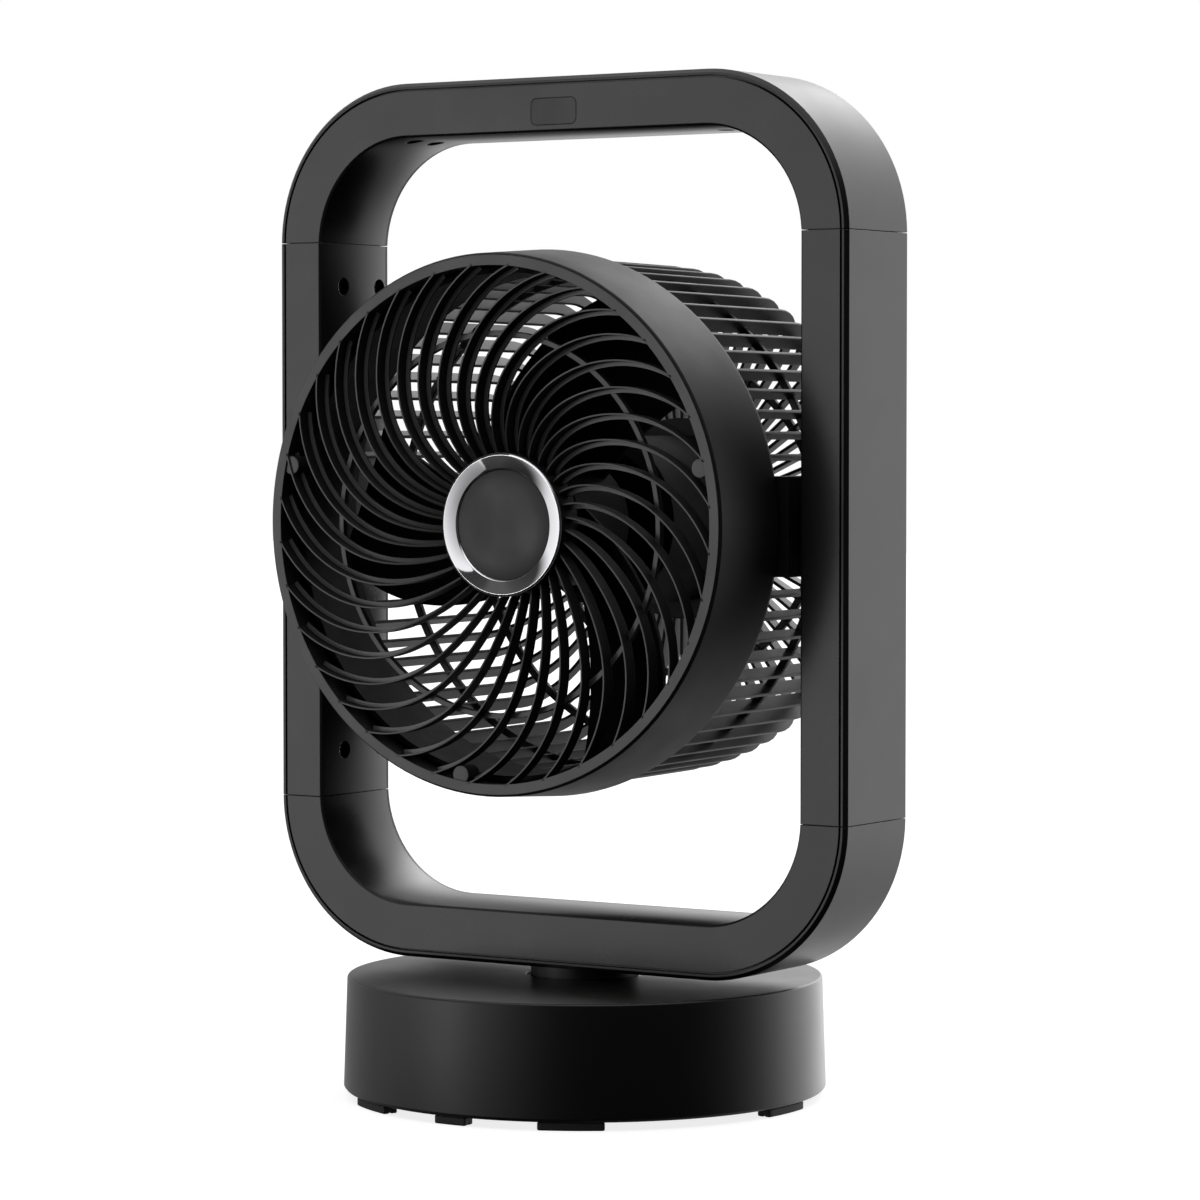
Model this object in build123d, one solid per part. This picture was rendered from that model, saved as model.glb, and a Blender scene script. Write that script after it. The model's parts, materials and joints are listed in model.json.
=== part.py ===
from build123d import *
import math
import os

# Desk air circulator. Millimetres, +Z up, the air leaves towards -Y.
# The origin is on the table, under the middle of the round base.

# ---------------------------------------------------------------- driving dimensions
FOOT_HEIGHT = 3.2
BASE_TOP_R = 91.8
BASE_FOOT_R = 93.2
BASE_COVER_HEIGHT = 43.6
BASE_WALL = 2.5
NECK_GAP = 4.2

FRAME_WIDTH = 258.9
FRAME_HEIGHT = 340.0
FRAME_DEPTH = 46.0
FRAME_CORNER_R = 61.0
OPENING_CORNER_R = 41.5
LEG_WIDTH = 19.9
BAR_HEIGHT = 20.9
CORNER_SEAM = 60.7
SEAM_GAP = 0.3
SEAM_NICK = 0.85
EDGE_BEVEL = 1.45
INNER_BEVEL = 0.8
RIM_WIDTH = 0.9
PANEL_GAP = 0.8
PANEL_THICK = 2.2
FRAME_WALL = 2.2

HEAD_CENTRE = 170.4
HEAD_FRONT_Y = -65.8
RING_OUTER_R = 101.6
RING_INNER_R = 96.8
SHROUD_REAR_R = 103.8
SHROUD_REAR_Y = -29.5
VANE_COUNT = 36
VANE_ARC_R = 52.7
VANE_ARC_OFFSET = 56.5
VANE_TURN = 1.45
VANE_THICK = 0.85
VANE_DEPTH = 7.0
DISH_FLAT_R = 65.0
DISH_ARC_R = 72.6
HUB_FRONT_Y = -56.0
HUB_R = 26.7
HUB_FACE_R = 20.8
MID_RING_R = 71.6
FIN_COUNT = 72
FIN_THICK = 1.3
FIN_DEPTH = 6.0
BASKET_R = 101.0
BASKET_TAPER = 1.0
BASKET_CORNER_R = 25.0
BASKET_SPLIT = 60.0
BASKET_REAR_Y = 76.0
REAR_PLATE_R = 40.0

SWING_LIMIT = 45.0
GEAR_MODULE = 1.0
GEAR_TEETH = 48
PINION_TEETH = 12

# ---------------------------------------------------------------- places worked out from them
BASE_FLOOR = FOOT_HEIGHT
BASE_TOP = BASE_FLOOR + BASE_COVER_HEIGHT
FRAME_BOTTOM = BASE_TOP + NECK_GAP
FRAME_TOP = FRAME_BOTTOM + FRAME_HEIGHT
FRAME_MIDDLE = FRAME_BOTTOM + FRAME_HEIGHT / 2
HEAD_Z = FRAME_BOTTOM + HEAD_CENTRE
HALF_WIDTH = FRAME_WIDTH / 2
HALF_DEPTH = FRAME_DEPTH / 2
OPENING_X = HALF_WIDTH - LEG_WIDTH
UPPER_SEAM = FRAME_TOP - CORNER_SEAM
LOWER_SEAM = FRAME_BOTTOM + CORNER_SEAM
PANEL_BACK_Y = -HALF_DEPTH + PANEL_THICK
BACK_WALL_Y = HALF_DEPTH - FRAME_WALL
PANEL_INSET = EDGE_BEVEL + RIM_WIDTH + PANEL_GAP
OUTER_WALL = EDGE_BEVEL + RIM_WIDTH + 1.5
BASKET_CORNER_X = BASKET_R - BASKET_TAPER - BASKET_CORNER_R
BASKET_CORNER_Y = BASKET_REAR_Y - BASKET_CORNER_R
GEAR_R = GEAR_MODULE * GEAR_TEETH / 2
PINION_R = GEAR_MODULE * PINION_TEETH / 2
PINION_Y = GEAR_R + PINION_R

NECK_R = 20.9
SPINDLE_R = 13.0
SPINDLE_END_R = 11.0
BORE_CLEARANCE = 0.05
WIRE_BORE_R = 8.0
RECESS_R = 22.8
RECESS_DEPTH = 1.4
NECK_SINK = 0.7
GEAR_Z = 12.0
GEAR_THICK = 6.0
AXLE_R = 6.0
AXLE_BUSH_R = 9.0
SADDLE_HALF = 18.5
SADDLE_REAR_Y = 16.0
SADDLE_FACE_X = 107.2


# ---------------------------------------------------------------- helpers
def polygon(points):
    """A flat face with straight sides through the points."""
    return make_face(Polyline(*points, close=True))


def turned(profile):
    """Turn a (radius, height) face about the upright axis of the base."""
    return revolve(Plane.XZ * profile, axis=Axis.Z)


def head_turned(profile):
    """Turn a (radius, y) face about the head's own axis."""
    return Pos(0, 0, HEAD_Z) * revolve(profile, axis=Axis.Y)


def facing(profile, y_front, y_back):
    """Extrude a face drawn as seen from the front, from y_front back to y_back."""
    return extrude(Plane.XZ.offset(-y_back) * profile, amount=y_back - y_front)


def rod(radius, start, direction, length):
    """A round bar from a start point along a direction."""
    return Plane(start, z_dir=direction) * Cylinder(
        radius, length, align=(Align.CENTER, Align.CENTER, Align.MIN))


def tube(outer, inner, start, direction, length):
    """A round bar with a bore right through."""
    bore = rod(inner, start, direction, length)
    return rod(outer, start, direction, length) - bore


def around(shape, count, axis_point=(0, 0, 0), axis_dir=(0, 0, 1), start=0.0):
    """Copies of a shape, evenly spaced about an axis."""
    axis = Axis(axis_point, axis_dir)
    return [shape.rotate(axis, start + 360 / count * i) for i in range(count)]


def around_head(shape, count, start=0.0):
    """Copies of a shape about the head's axis, counted clockwise from the front."""
    return around(shape, count, (0, 0, HEAD_Z), (0, 1, 0), start)


def screw(start, direction, length, shank_r=1.5, head_r=2.8, head_height=1.8):
    """A pan-head screw: the head's seat is at start and the shank runs along direction."""
    outward = tuple(-c for c in direction)
    head = rod(head_r, start, outward, head_height)
    top = tuple(s + o * head_height for s, o in zip(start, outward))
    slot = rod(1.0, top, direction, head_height * 0.6)
    return head - slot + rod(shank_r, start, direction, length)


def save(name, shape):
    """Write one named piece, or a group of equal loose pieces, to its own file."""
    pieces = shape if isinstance(shape, list) else [shape]
    solids = [s for piece in pieces for s in piece.solids()]
    export_step(solids[0] if len(solids) == 1 else Compound(children=solids), f"parts/{name}.step")


# ---------------------------------------------------------------- base
PLATE_R = BASE_FOOT_R - BASE_WALL - 0.3
PLATE_THICK = 2.5
PLATE_TOP = BASE_FLOOR + PLATE_THICK
CEILING = BASE_TOP - BASE_WALL
RECESS_FLOOR = BASE_TOP - RECESS_DEPTH
HUB_CEILING = CEILING - RECESS_DEPTH
BUSH_SEAT_R = SPINDLE_R + 3.0
BOSS_COUNT = 6
BOSS_CIRCLE_R = 76.0
BOSS_R = 4.0
SCREW_HOLE_R = 1.6
MOTOR_R = 17.5
MOTOR_HEIGHT = 19.0
MOTOR_TOP = CEILING - 2.5
MOTOR_Y = PINION_Y + 8.0
MOTOR_EAR_X = 21.0
EAR_THICK = 1.0
PINION_SHAFT_R = 1.5
SOCKET_Z = 15.0
SOCKET_WIDTH = 12.0
SOCKET_HEIGHT = 11.0
BALLAST_HEIGHT = 8.0
BOARD_Y = -69.0
BOARD_POST_HEIGHT = 4.0
BOARD_THICK = 1.6


def base_cover():
    """Drum-shaped cover: flared wall, flat top with a sunk ring for the neck, bosses inside."""
    wall = polygon([
        (BASE_FOOT_R - 1.2, BASE_FLOOR), (BASE_FOOT_R - 0.3, BASE_FLOOR + 0.4),
        (BASE_FOOT_R, BASE_FLOOR + 1.4), (BASE_TOP_R + 0.03, BASE_TOP - 1.0),
        (BASE_TOP_R - 0.3, BASE_TOP - 0.3), (BASE_TOP_R - 1.0, BASE_TOP),
        (RECESS_R, BASE_TOP), (RECESS_R, RECESS_FLOOR), (BUSH_SEAT_R, RECESS_FLOOR),
        (BUSH_SEAT_R, HUB_CEILING), (RECESS_R + 3, HUB_CEILING), (RECESS_R + 5, CEILING),
        (BASE_TOP_R - BASE_WALL, CEILING), (BASE_FOOT_R - BASE_WALL, BASE_FLOOR)])
    boss = tube(BOSS_R, SCREW_HOLE_R, (BOSS_CIRCLE_R, 0, PLATE_TOP), (0, 0, 1), CEILING - PLATE_TOP)
    motor_posts = [tube(3.2, SCREW_HOLE_R, (side * MOTOR_EAR_X, MOTOR_Y, MOTOR_TOP), (0, 0, 1),
                        CEILING - MOTOR_TOP) for side in (-1, 1)]
    cover = turned(wall) + around(boss, BOSS_COUNT) + motor_posts
    opening = Pos(0, BASE_FOOT_R, SOCKET_Z) * Box(SOCKET_WIDTH, 16, SOCKET_HEIGHT)
    return cover - opening


def base_plate():
    """Flat floor of the base: sunk screw holes, posts for the board and a rest for the socket."""
    plate = rod(PLATE_R, (0, 0, BASE_FLOOR), (0, 0, 1), PLATE_THICK)
    hole = rod(1.8, (BOSS_CIRCLE_R, 0, BASE_FLOOR), (0, 0, 1), PLATE_THICK)
    sink = rod(3.2, (BOSS_CIRCLE_R, 0, BASE_FLOOR), (0, 0, 1), PLATE_THICK - 1.0)
    posts = [rod(2.0, (x, BOARD_Y + y, PLATE_TOP), (0, 0, 1), BOARD_POST_HEIGHT)
             for x in (-19, 19) for y in (-6, 6)]
    rest_height = SOCKET_Z - SOCKET_HEIGHT / 2 + 0.2 - PLATE_TOP
    rest = Pos(0, 80, PLATE_TOP + rest_height / 2) * Box(10, 10, rest_height)
    return plate - around(hole + sink, BOSS_COUNT) + posts + rest


def foot_pad(angle, length, inner_r=82.5, outer_r=88.5):
    """A curved rubber pad on the underside, centred on an angle."""
    half = math.degrees(length / (inner_r + outer_r))
    pad = ring_sector(inner_r, outer_r, angle - half, angle + half)
    solid = extrude(pad, amount=FOOT_HEIGHT)
    return chamfer(solid.faces().sort_by(Axis.Z)[0].edges(), 0.7)


def ring_sector(inner_r, outer_r, start, end, centre=(0, 0)):
    """Flat part of a ring between two angles."""
    def point(radius, angle):
        turn = math.radians(angle)
        return centre[0] + radius * math.cos(turn), centre[1] + radius * math.sin(turn)
    arcs = [CenterArc(centre, r, start, end - start) for r in (inner_r, outer_r)]
    ends = [Line(point(inner_r, a), point(outer_r, a)) for a in (start, end)]
    return make_face(arcs + ends)


def rubber_feet():
    """Six long pads, and a short one at the front and at the back."""
    long_pads = [foot_pad(60 * i, 25.0) for i in range(6)]
    return long_pads + [foot_pad(angle, 13.0) for angle in (-90, 90)]


def base_screws():
    """Six screws that hold the plate to the cover's bosses."""
    one = screw((BOSS_CIRCLE_R, 0, BASE_FLOOR + PLATE_THICK - 1.0), (0, 0, 1), 9.0, 1.5, 2.8, 1.4)
    return around(one, BOSS_COUNT)


def ballast_ring():
    """Steel weight that keeps the tall frame from tipping."""
    return tube(59.0, 40.0, (0, 0, PLATE_TOP), (0, 0, 1), BALLAST_HEIGHT)


def neck_washer():
    """Thin slippery ring in the sunk ring of the cover, under the neck."""
    return tube(NECK_R + 1.4, SPINDLE_R + 1.5, (0, 0, RECESS_FLOOR), (0, 0, 1), 0.65)


def swivel_bush():
    """Plain bearing in the cover that the spindle turns in."""
    sleeve = tube(BUSH_SEAT_R, SPINDLE_R + BORE_CLEARANCE, (0, 0, HUB_CEILING), (0, 0, 1), BASE_WALL)
    flange = tube(BUSH_SEAT_R + 3.5, SPINDLE_R + BORE_CLEARANCE, (0, 0, HUB_CEILING), (0, 0, -1), 2.0)
    return sleeve + flange


def swivel_motor():
    """Geared stepping motor hung under the cover by two ears, with an offset shaft hole."""
    body = rod(MOTOR_R, (0, MOTOR_Y, MOTOR_TOP), (0, 0, -1), MOTOR_HEIGHT)
    ears = Pos(0, MOTOR_Y, MOTOR_TOP - EAR_THICK / 2) * Box(2 * MOTOR_EAR_X, 7, EAR_THICK)
    ears = ears + [rod(3.5, (side * MOTOR_EAR_X, MOTOR_Y, MOTOR_TOP), (0, 0, -1), EAR_THICK)
                   for side in (-1, 1)]
    holes = [rod(SCREW_HOLE_R, (side * MOTOR_EAR_X, MOTOR_Y, MOTOR_TOP), (0, 0, -1), EAR_THICK)
             for side in (-1, 1)]
    shaft_hole = rod(PINION_SHAFT_R + 0.1, (0, PINION_Y, MOTOR_TOP - MOTOR_HEIGHT), (0, 0, 1), 5.0)
    return body + ears - holes - shaft_hole


def motor_screws():
    """Two screws up through the motor's ears into the cover."""
    return [screw((side * MOTOR_EAR_X, MOTOR_Y, MOTOR_TOP - EAR_THICK), (0, 0, 1), 3.2, 1.5, 2.8, 1.6)
            for side in (-1, 1)]


def tooth_profile(teeth, radius, backlash):
    """Outline of a spur gear with straight-flanked teeth."""
    pitch = 2 * math.pi / teeth
    tip, root = radius + 0.9 * GEAR_MODULE, radius - 1.15 * GEAR_MODULE
    half_tip = (0.17 * pitch) - backlash / radius
    half_root = (0.33 * pitch) - backlash / radius
    points = []
    for i in range(teeth):
        mid = i * pitch
        for r, offset in ((root, -half_root), (tip, -half_tip), (tip, half_tip), (root, half_root)):
            points.append((r * math.cos(mid + offset), r * math.sin(mid + offset)))
    return polygon(points)


def swivel_gear():
    """Large gear on the lower end of the spindle."""
    gear = extrude(Pos(0, 0, GEAR_Z) * tooth_profile(GEAR_TEETH, GEAR_R, 0.12), amount=GEAR_THICK)
    return gear - rod(SPINDLE_END_R, (0, 0, GEAR_Z), (0, 0, 1), GEAR_THICK)


def drive_pinion():
    """Small gear and its shaft, in mesh with the large one."""
    half_tooth = 180 / PINION_TEETH
    profile = Rot(0, 0, -90 + half_tooth) * tooth_profile(PINION_TEETH, PINION_R, 0.12)
    gear = extrude(Pos(0, PINION_Y, GEAR_Z) * profile, amount=GEAR_THICK)
    shaft_length = MOTOR_TOP - MOTOR_HEIGHT + 4.0 - GEAR_Z
    return gear + rod(PINION_SHAFT_R, (0, PINION_Y, GEAR_Z), (0, 0, 1), shaft_length)


def control_board():
    """Circuit board on its posts, with a relay, a capacitor and a plug for the wires."""
    low = PLATE_TOP + BOARD_POST_HEIGHT
    top = low + BOARD_THICK
    board = Pos(0, BOARD_Y, low + BOARD_THICK / 2) * Box(44, 18, BOARD_THICK)
    relay = Pos(-12, BOARD_Y, top + 4.5) * Box(12, 9, 9)
    plug = Pos(14, BOARD_Y + 3, top + 3) * Box(10, 5, 6)
    return board + relay + plug + rod(3.0, (3, BOARD_Y, top), (0, 0, 1), 9.0)


def power_socket():
    """Low-voltage inlet in the back of the base."""
    block = Pos(0, 83.2, SOCKET_Z) * Box(SOCKET_WIDTH - 0.4, 17, SOCKET_HEIGHT - 0.4)
    bore = rod(3.2, (0, 92, SOCKET_Z), (0, -1, 0), 10)
    pin = rod(1.0, (0, 82, SOCKET_Z), (0, 1, 0), 8)
    return block - bore + pin


# ---------------------------------------------------------------- frame
def rounded(width, height, radius, centre_z=FRAME_MIDDLE):
    """A rounded rectangle as seen from the front."""
    return Pos(0, centre_z) * RectangleRounded(width, height, radius)


def outer_outline(inset):
    """The frame's outside edge, drawn in by an even amount."""
    return rounded(FRAME_WIDTH - 2 * inset, FRAME_HEIGHT - 2 * inset, FRAME_CORNER_R - inset)


def opening_outline(grow):
    """The frame's inside edge, drawn out by an even amount."""
    return rounded(2 * (OPENING_X + grow), FRAME_HEIGHT - 2 * (BAR_HEIGHT - grow), OPENING_CORNER_R + grow)


def frame_loop():
    """Outer shell of the frame: outside wall and back wall, open to the front and the inside."""
    solid = facing(outer_outline(0), -HALF_DEPTH, HALF_DEPTH)
    outside = solid.edges().filter_by(lambda e: abs(abs(e.center().Y) - HALF_DEPTH) < 0.01)
    solid = chamfer(outside, EDGE_BEVEL)
    solid = solid - facing(opening_outline(0), -HALF_DEPTH, HALF_DEPTH)
    seat = facing(outer_outline(EDGE_BEVEL + RIM_WIDTH), -HALF_DEPTH, PANEL_BACK_Y)
    hollow = facing(outer_outline(OUTER_WALL), PANEL_BACK_Y, BACK_WALL_Y)
    solid = solid - seat - hollow
    inner = [e for e in solid.edges()
             if abs(e.center().Y - HALF_DEPTH) < 0.01 and near_opening(e)]
    return chamfer(inner, INNER_BEVEL)


def panel_loop():
    """Inner trim of the frame: flat front face, and the wall that lines the opening."""
    face = facing(outer_outline(PANEL_INSET) - opening_outline(0), -HALF_DEPTH, PANEL_BACK_Y)
    lining = facing(opening_outline(FRAME_WALL) - opening_outline(0), PANEL_BACK_Y, BACK_WALL_Y)
    loop = face + lining
    inner = [e for e in loop.edges()
             if abs(e.center().Y + HALF_DEPTH) < 0.01 and near_opening(e)]
    return chamfer(inner, INNER_BEVEL)


def near_opening(edge):
    """True for an edge of the frame's inside outline."""
    point = edge @ 0.5
    return (abs(point.X) < OPENING_X + 0.1
            and abs(point.Z - FRAME_MIDDLE) < FRAME_HEIGHT / 2 - BAR_HEIGHT + 0.1)


def band(low, high):
    """A block that takes in everything between two heights."""
    return Pos(0, 0, (low + high) / 2) * Box(FRAME_WIDTH + 10, FRAME_DEPTH + 10, high - low)


def seam_nicks():
    """Small notches where the seams meet the rear inner edges of the legs."""
    nick = Rot(45, 0, 0) * Box(3.0, SEAM_NICK, SEAM_NICK)
    return [Pos(side * OPENING_X, HALF_DEPTH - INNER_BEVEL / 2, seam) * nick
            for side in (-1, 1) for seam in (LOWER_SEAM, UPPER_SEAM)]


def split_loop(loop):
    """Cut a loop at the two seam heights into bottom, left, right and top."""
    half = SEAM_GAP / 2
    bottom = loop & band(FRAME_BOTTOM - 1, LOWER_SEAM - half)
    legs = loop & band(LOWER_SEAM + half, UPPER_SEAM - half)
    top = loop & band(UPPER_SEAM + half, FRAME_TOP + 1)
    left, right = legs.solids().sort_by(Axis.X)
    return {"bottom": bottom, "left": left, "right": right, "top": top}


SUNK_HOLE_R = 3.5
SUNK_SLEEVE_R = 4.1
SUNK_DEPTH = 4.4
SUNK_FLOOR = 1.0
POST_R = 3.6
POST_HOLE_R = 1.45
LEG_SCREW_DZ = 92.0
LEG_SCREW_YS = (-7.4, 16.6)
TOP_SCREWS = ((-74.8, -7.4), (-74.8, 6.7), (59.4, 7.0))


def leg_screw_places(side):
    """Mouths of the sunk screw holes on one leg's inner face."""
    return [(side * OPENING_X, y, HEAD_Z + dz) for y in LEG_SCREW_YS for dz in (-LEG_SCREW_DZ, LEG_SCREW_DZ)]


def top_screw_places():
    """Mouths of the sunk screw holes under the top bar."""
    return [(x, y, FRAME_TOP - BAR_HEIGHT) for x, y in TOP_SCREWS]


def along(place, direction, distance):
    """A point moved along a direction."""
    return tuple(c + d * distance for c, d in zip(place, direction))


def sink_screws(lining, places, direction):
    """Add a sleeve with a floor behind each sunk hole, and open the hole."""
    for place in places:
        length = SUNK_DEPTH + SUNK_FLOOR - 0.5
        lining = lining + rod(SUNK_SLEEVE_R, along(place, direction, 0.5), direction, length)
        lining = lining - rod(SUNK_HOLE_R, along(place, direction, -3.0), direction, SUNK_DEPTH + 3.0)
        lining = lining - rod(SCREW_HOLE_R, along(place, direction, SUNK_DEPTH), direction, SUNK_FLOOR)
    return lining


def add_posts(shell, places, direction, wall_distance):
    """Posts on the outer wall that the sunk screws bite into."""
    for place in places:
        start = along(place, direction, SUNK_DEPTH + SUNK_FLOOR)
        length = wall_distance - SUNK_DEPTH - SUNK_FLOOR + 0.8
        shell = shell + rod(POST_R, start, direction, length) - rod(POST_HOLE_R, start, direction, length - 3)
    return shell


def frame_screws():
    """Screws at the bottom of the sunk holes in the legs and the top bar."""
    groups = [(leg_screw_places(side), (side, 0, 0)) for side in (-1, 1)]
    groups.append((top_screw_places(), (0, 0, 1)))
    return [screw(along(place, direction, SUNK_DEPTH), direction, 8.0, 1.4, 2.9, 1.6)
            for places, direction in groups for place in places]


def leg_lining(lining, side):
    """A leg's inner trim with its sunk holes and the tilt bush's hole."""
    lining = sink_screws(lining, leg_screw_places(side), (side, 0, 0))
    return lining - rod(AXLE_BUSH_R, (side * (OPENING_X - 1), 0, HEAD_Z), (side, 0, 0), FRAME_WALL + 1.5)


def leg_shell(shell, side):
    """A leg's outer shell with its screw posts."""
    return add_posts(shell, leg_screw_places(side), (side, 0, 0), LEG_WIDTH - OUTER_WALL)


def splice_sleeves():
    """Short box sleeves inside the channel that join the four parts of the loop."""
    face = outer_outline(OUTER_WALL + 0.1) - opening_outline(FRAME_WALL + 0.1)
    core = outer_outline(OUTER_WALL + 1.6) - opening_outline(FRAME_WALL + 1.6)
    block = facing(face, PANEL_BACK_Y + 0.1, BACK_WALL_Y - 0.1)
    block = block - facing(core, PANEL_BACK_Y + 1.6, BACK_WALL_Y - 1.6)
    sleeves = []
    for seam in (LOWER_SEAM, UPPER_SEAM):
        sleeves += (block & band(seam - 9, seam + 9)).solids()
    return sleeves


WINDOW_WIDTH = 20.7
WINDOW_HEIGHT = 10.3
WINDOW_X = 0.85
WINDOW_Z = FRAME_BOTTOM + 326.75


def window_outline(grow):
    """The receiver window's outline in the top bar."""
    return Pos(WINDOW_X, WINDOW_Z) * RectangleRounded(
        WINDOW_WIDTH + 2 * grow, WINDOW_HEIGHT + 2 * grow, 2.5 + grow)


def sensor_window():
    """Dark window for the remote control's receiver, flush in the top panel."""
    pane = facing(window_outline(-0.15), -HALF_DEPTH, PANEL_BACK_Y)
    flange = Pos(WINDOW_X, WINDOW_Z) * Rectangle(WINDOW_WIDTH + 2, WINDOW_HEIGHT - 0.6)
    return pane + facing(flange, PANEL_BACK_Y, PANEL_BACK_Y + 1.0)


def sensor_board():
    """Small circuit board with the receiver, held between the top bar's two walls."""
    low = FRAME_TOP - BAR_HEIGHT + FRAME_WALL
    high = FRAME_TOP - OUTER_WALL
    board_y = PANEL_BACK_Y + 6.0
    board = Pos(WINDOW_X, board_y, (low + high) / 2) * Box(26, 1.2, high - low - 0.05)
    eye = rod(2.5, (WINDOW_X, board_y - 0.6, WINDOW_Z), (0, -1, 0), 3.5)
    return board + eye


NECK_SCREW_CIRCLE_R = 15.5


def neck_post():
    """Collar under the frame and hollow spindle down into the base."""
    collar_low = BASE_TOP - NECK_SINK
    step = GEAR_Z + GEAR_THICK
    post = turned(polygon([
        (WIRE_BORE_R, FRAME_BOTTOM), (NECK_R, FRAME_BOTTOM), (NECK_R, collar_low),
        (SPINDLE_R, collar_low), (SPINDLE_R, step), (SPINDLE_END_R, step),
        (SPINDLE_END_R, GEAR_Z), (WIRE_BORE_R, GEAR_Z)]))
    hole = rod(POST_HOLE_R, (NECK_SCREW_CIRCLE_R, 0, FRAME_BOTTOM), (0, 0, -1), 4.0)
    return post - around(hole, 4, start=45)


def neck_screws():
    """Screws from inside the bottom bar down into the neck."""
    seat = (NECK_SCREW_CIRCLE_R, 0, FRAME_BOTTOM + OUTER_WALL)
    return around(screw(seat, (0, 0, -1), OUTER_WALL + 3.0, 1.4, 2.8, 1.8), 4, start=45)


def drill_bottom(bottom):
    """Open the bottom bar's underside for the wires and the neck screws."""
    hole = rod(1.7, (NECK_SCREW_CIRCLE_R, 0, FRAME_BOTTOM - 1), (0, 0, 1), OUTER_WALL + 2)
    wires = rod(WIRE_BORE_R, (0, 0, FRAME_BOTTOM - 1), (0, 0, 1), OUTER_WALL + 2)
    return bottom - around(hole, 4, start=45) - wires


def tilt_bush(side):
    """Flanged bush in a leg's inner wall for the head's axle."""
    flange = tube(AXLE_BUSH_R + 3, AXLE_R + BORE_CLEARANCE,
                  (side * (OPENING_X - 1.2), 0, HEAD_Z), (side, 0, 0), 1.2)
    sleeve = tube(AXLE_BUSH_R - 0.02, AXLE_R + BORE_CLEARANCE,
                  (side * OPENING_X, 0, HEAD_Z), (side, 0, 0), 6.0)
    return flange + sleeve


# ---------------------------------------------------------------- head
RING_THICK = 2.2
HUB_RING_DEPTH = 3.0
MID_RING_HALF = 1.05
MID_RING_SINK = 5.1
MID_RING_DEPTH = 2.6
GRILLE_RIM_DEPTH = 10.0
GRILLE_BOSS_R = 3.6
GRILLE_BOSS_DEPTH = 7.5
GRILLE_BOSS_CIRCLE_R = 94.0
GRILLE_BOSS_ANGLES = (13.3, 166.7, -98.0)


def hoop(inner_r, outer_r, y_front, y_back):
    """A plain ring about the head's axis."""
    return revolve(polygon([(inner_r, y_front), (outer_r, y_front), (outer_r, y_back), (inner_r, y_back)]),
                   axis=Axis.Y)


def vane_angle(radius):
    """Angle about the head's axis from the vane's arc centre to its point at a radius."""
    cosine = (radius ** 2 + VANE_ARC_OFFSET ** 2 - VANE_ARC_R ** 2) / (2 * radius * VANE_ARC_OFFSET)
    return math.degrees(math.acos(cosine))


def arc_angle(radius):
    """Angle about the vane's arc centre to its point at a radius from the head's axis."""
    turn = math.radians(vane_angle(radius))
    x, z = radius * math.cos(turn) - VANE_ARC_OFFSET, radius * math.sin(turn)
    return math.degrees(math.atan2(z, x))


def vane_strip():
    """Flat curved strip of one vane as seen from the front."""
    return ring_sector(VANE_ARC_R - VANE_THICK / 2, VANE_ARC_R + VANE_THICK / 2,
                       arc_angle(RING_INNER_R + 1.0), arc_angle(HUB_R - 1.5), (VANE_ARC_OFFSET, 0))


def dish(thick):
    """Turned layer that follows the grille's front, flat outside and curved in to the hub."""
    inner = HUB_R - 8.0
    sweep = math.degrees(math.asin((DISH_FLAT_R - inner) / DISH_ARC_R))
    drop = DISH_ARC_R * math.cos(math.radians(sweep))
    centre_y = HEAD_FRONT_Y + DISH_ARC_R
    inner_y = centre_y - drop
    edges = [CenterArc((DISH_FLAT_R, centre_y + depth), DISH_ARC_R, 270 - sweep, sweep)
             for depth in (0, thick)]
    edges += [Line((DISH_FLAT_R, HEAD_FRONT_Y + depth), (RING_OUTER_R, HEAD_FRONT_Y + depth))
              for depth in (0, thick)]
    edges += [Line((r, y), (r, y + thick))
              for r, y in ((inner, inner_y), (RING_OUTER_R, HEAD_FRONT_Y))]
    return revolve(make_face(edges), axis=Axis.Y)


def vane():
    """One spiral vane: a thin curved blade, clear of the bright ring's seat."""
    front = HEAD_FRONT_Y - 2
    blade = facing(vane_strip(), front, HUB_FRONT_Y + 20) & dish(VANE_DEPTH)
    return blade - hoop(0, HUB_R + 0.1, front, HUB_FRONT_Y + HUB_RING_DEPTH)


def front_grille():
    """Spiral vanes between the hub seat and the front ring, tied by a middle ring."""
    front = HEAD_FRONT_Y
    ring = revolve(polygon([
        (RING_INNER_R, front), (RING_OUTER_R - 0.8, front), (RING_OUTER_R - 0.8, front + RING_THICK),
        (RING_INNER_R + 1.8, front + RING_THICK), (RING_INNER_R + 1.8, front + GRILLE_RIM_DEPTH),
        (RING_INNER_R + 0.4, front + GRILLE_RIM_DEPTH)]), axis=Axis.Y)
    seat_r = HUB_R - 0.6
    seat_y = HUB_FRONT_Y + HUB_RING_DEPTH
    hub = hoop(0, seat_r, seat_y, seat_y + 2) + hoop(seat_r - 2.4, seat_r, seat_y, seat_y + 7)
    middle = hoop(MID_RING_R - MID_RING_HALF, MID_RING_R + MID_RING_HALF,
                  front + MID_RING_SINK, front + MID_RING_SINK + MID_RING_DEPTH)
    boss = rod(GRILLE_BOSS_R, (GRILLE_BOSS_CIRCLE_R, front + 4, 0), (0, 1, 0), GRILLE_BOSS_DEPTH)
    bosses = [boss.rotate(Axis.Y, -angle) for angle in GRILLE_BOSS_ANGLES]
    vanes = around(vane(), VANE_COUNT, (0, 0, 0), (0, 1, 0), VANE_TURN)
    return Pos(0, 0, HEAD_Z) * (ring + vanes + [hub, middle] + bosses)


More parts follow.
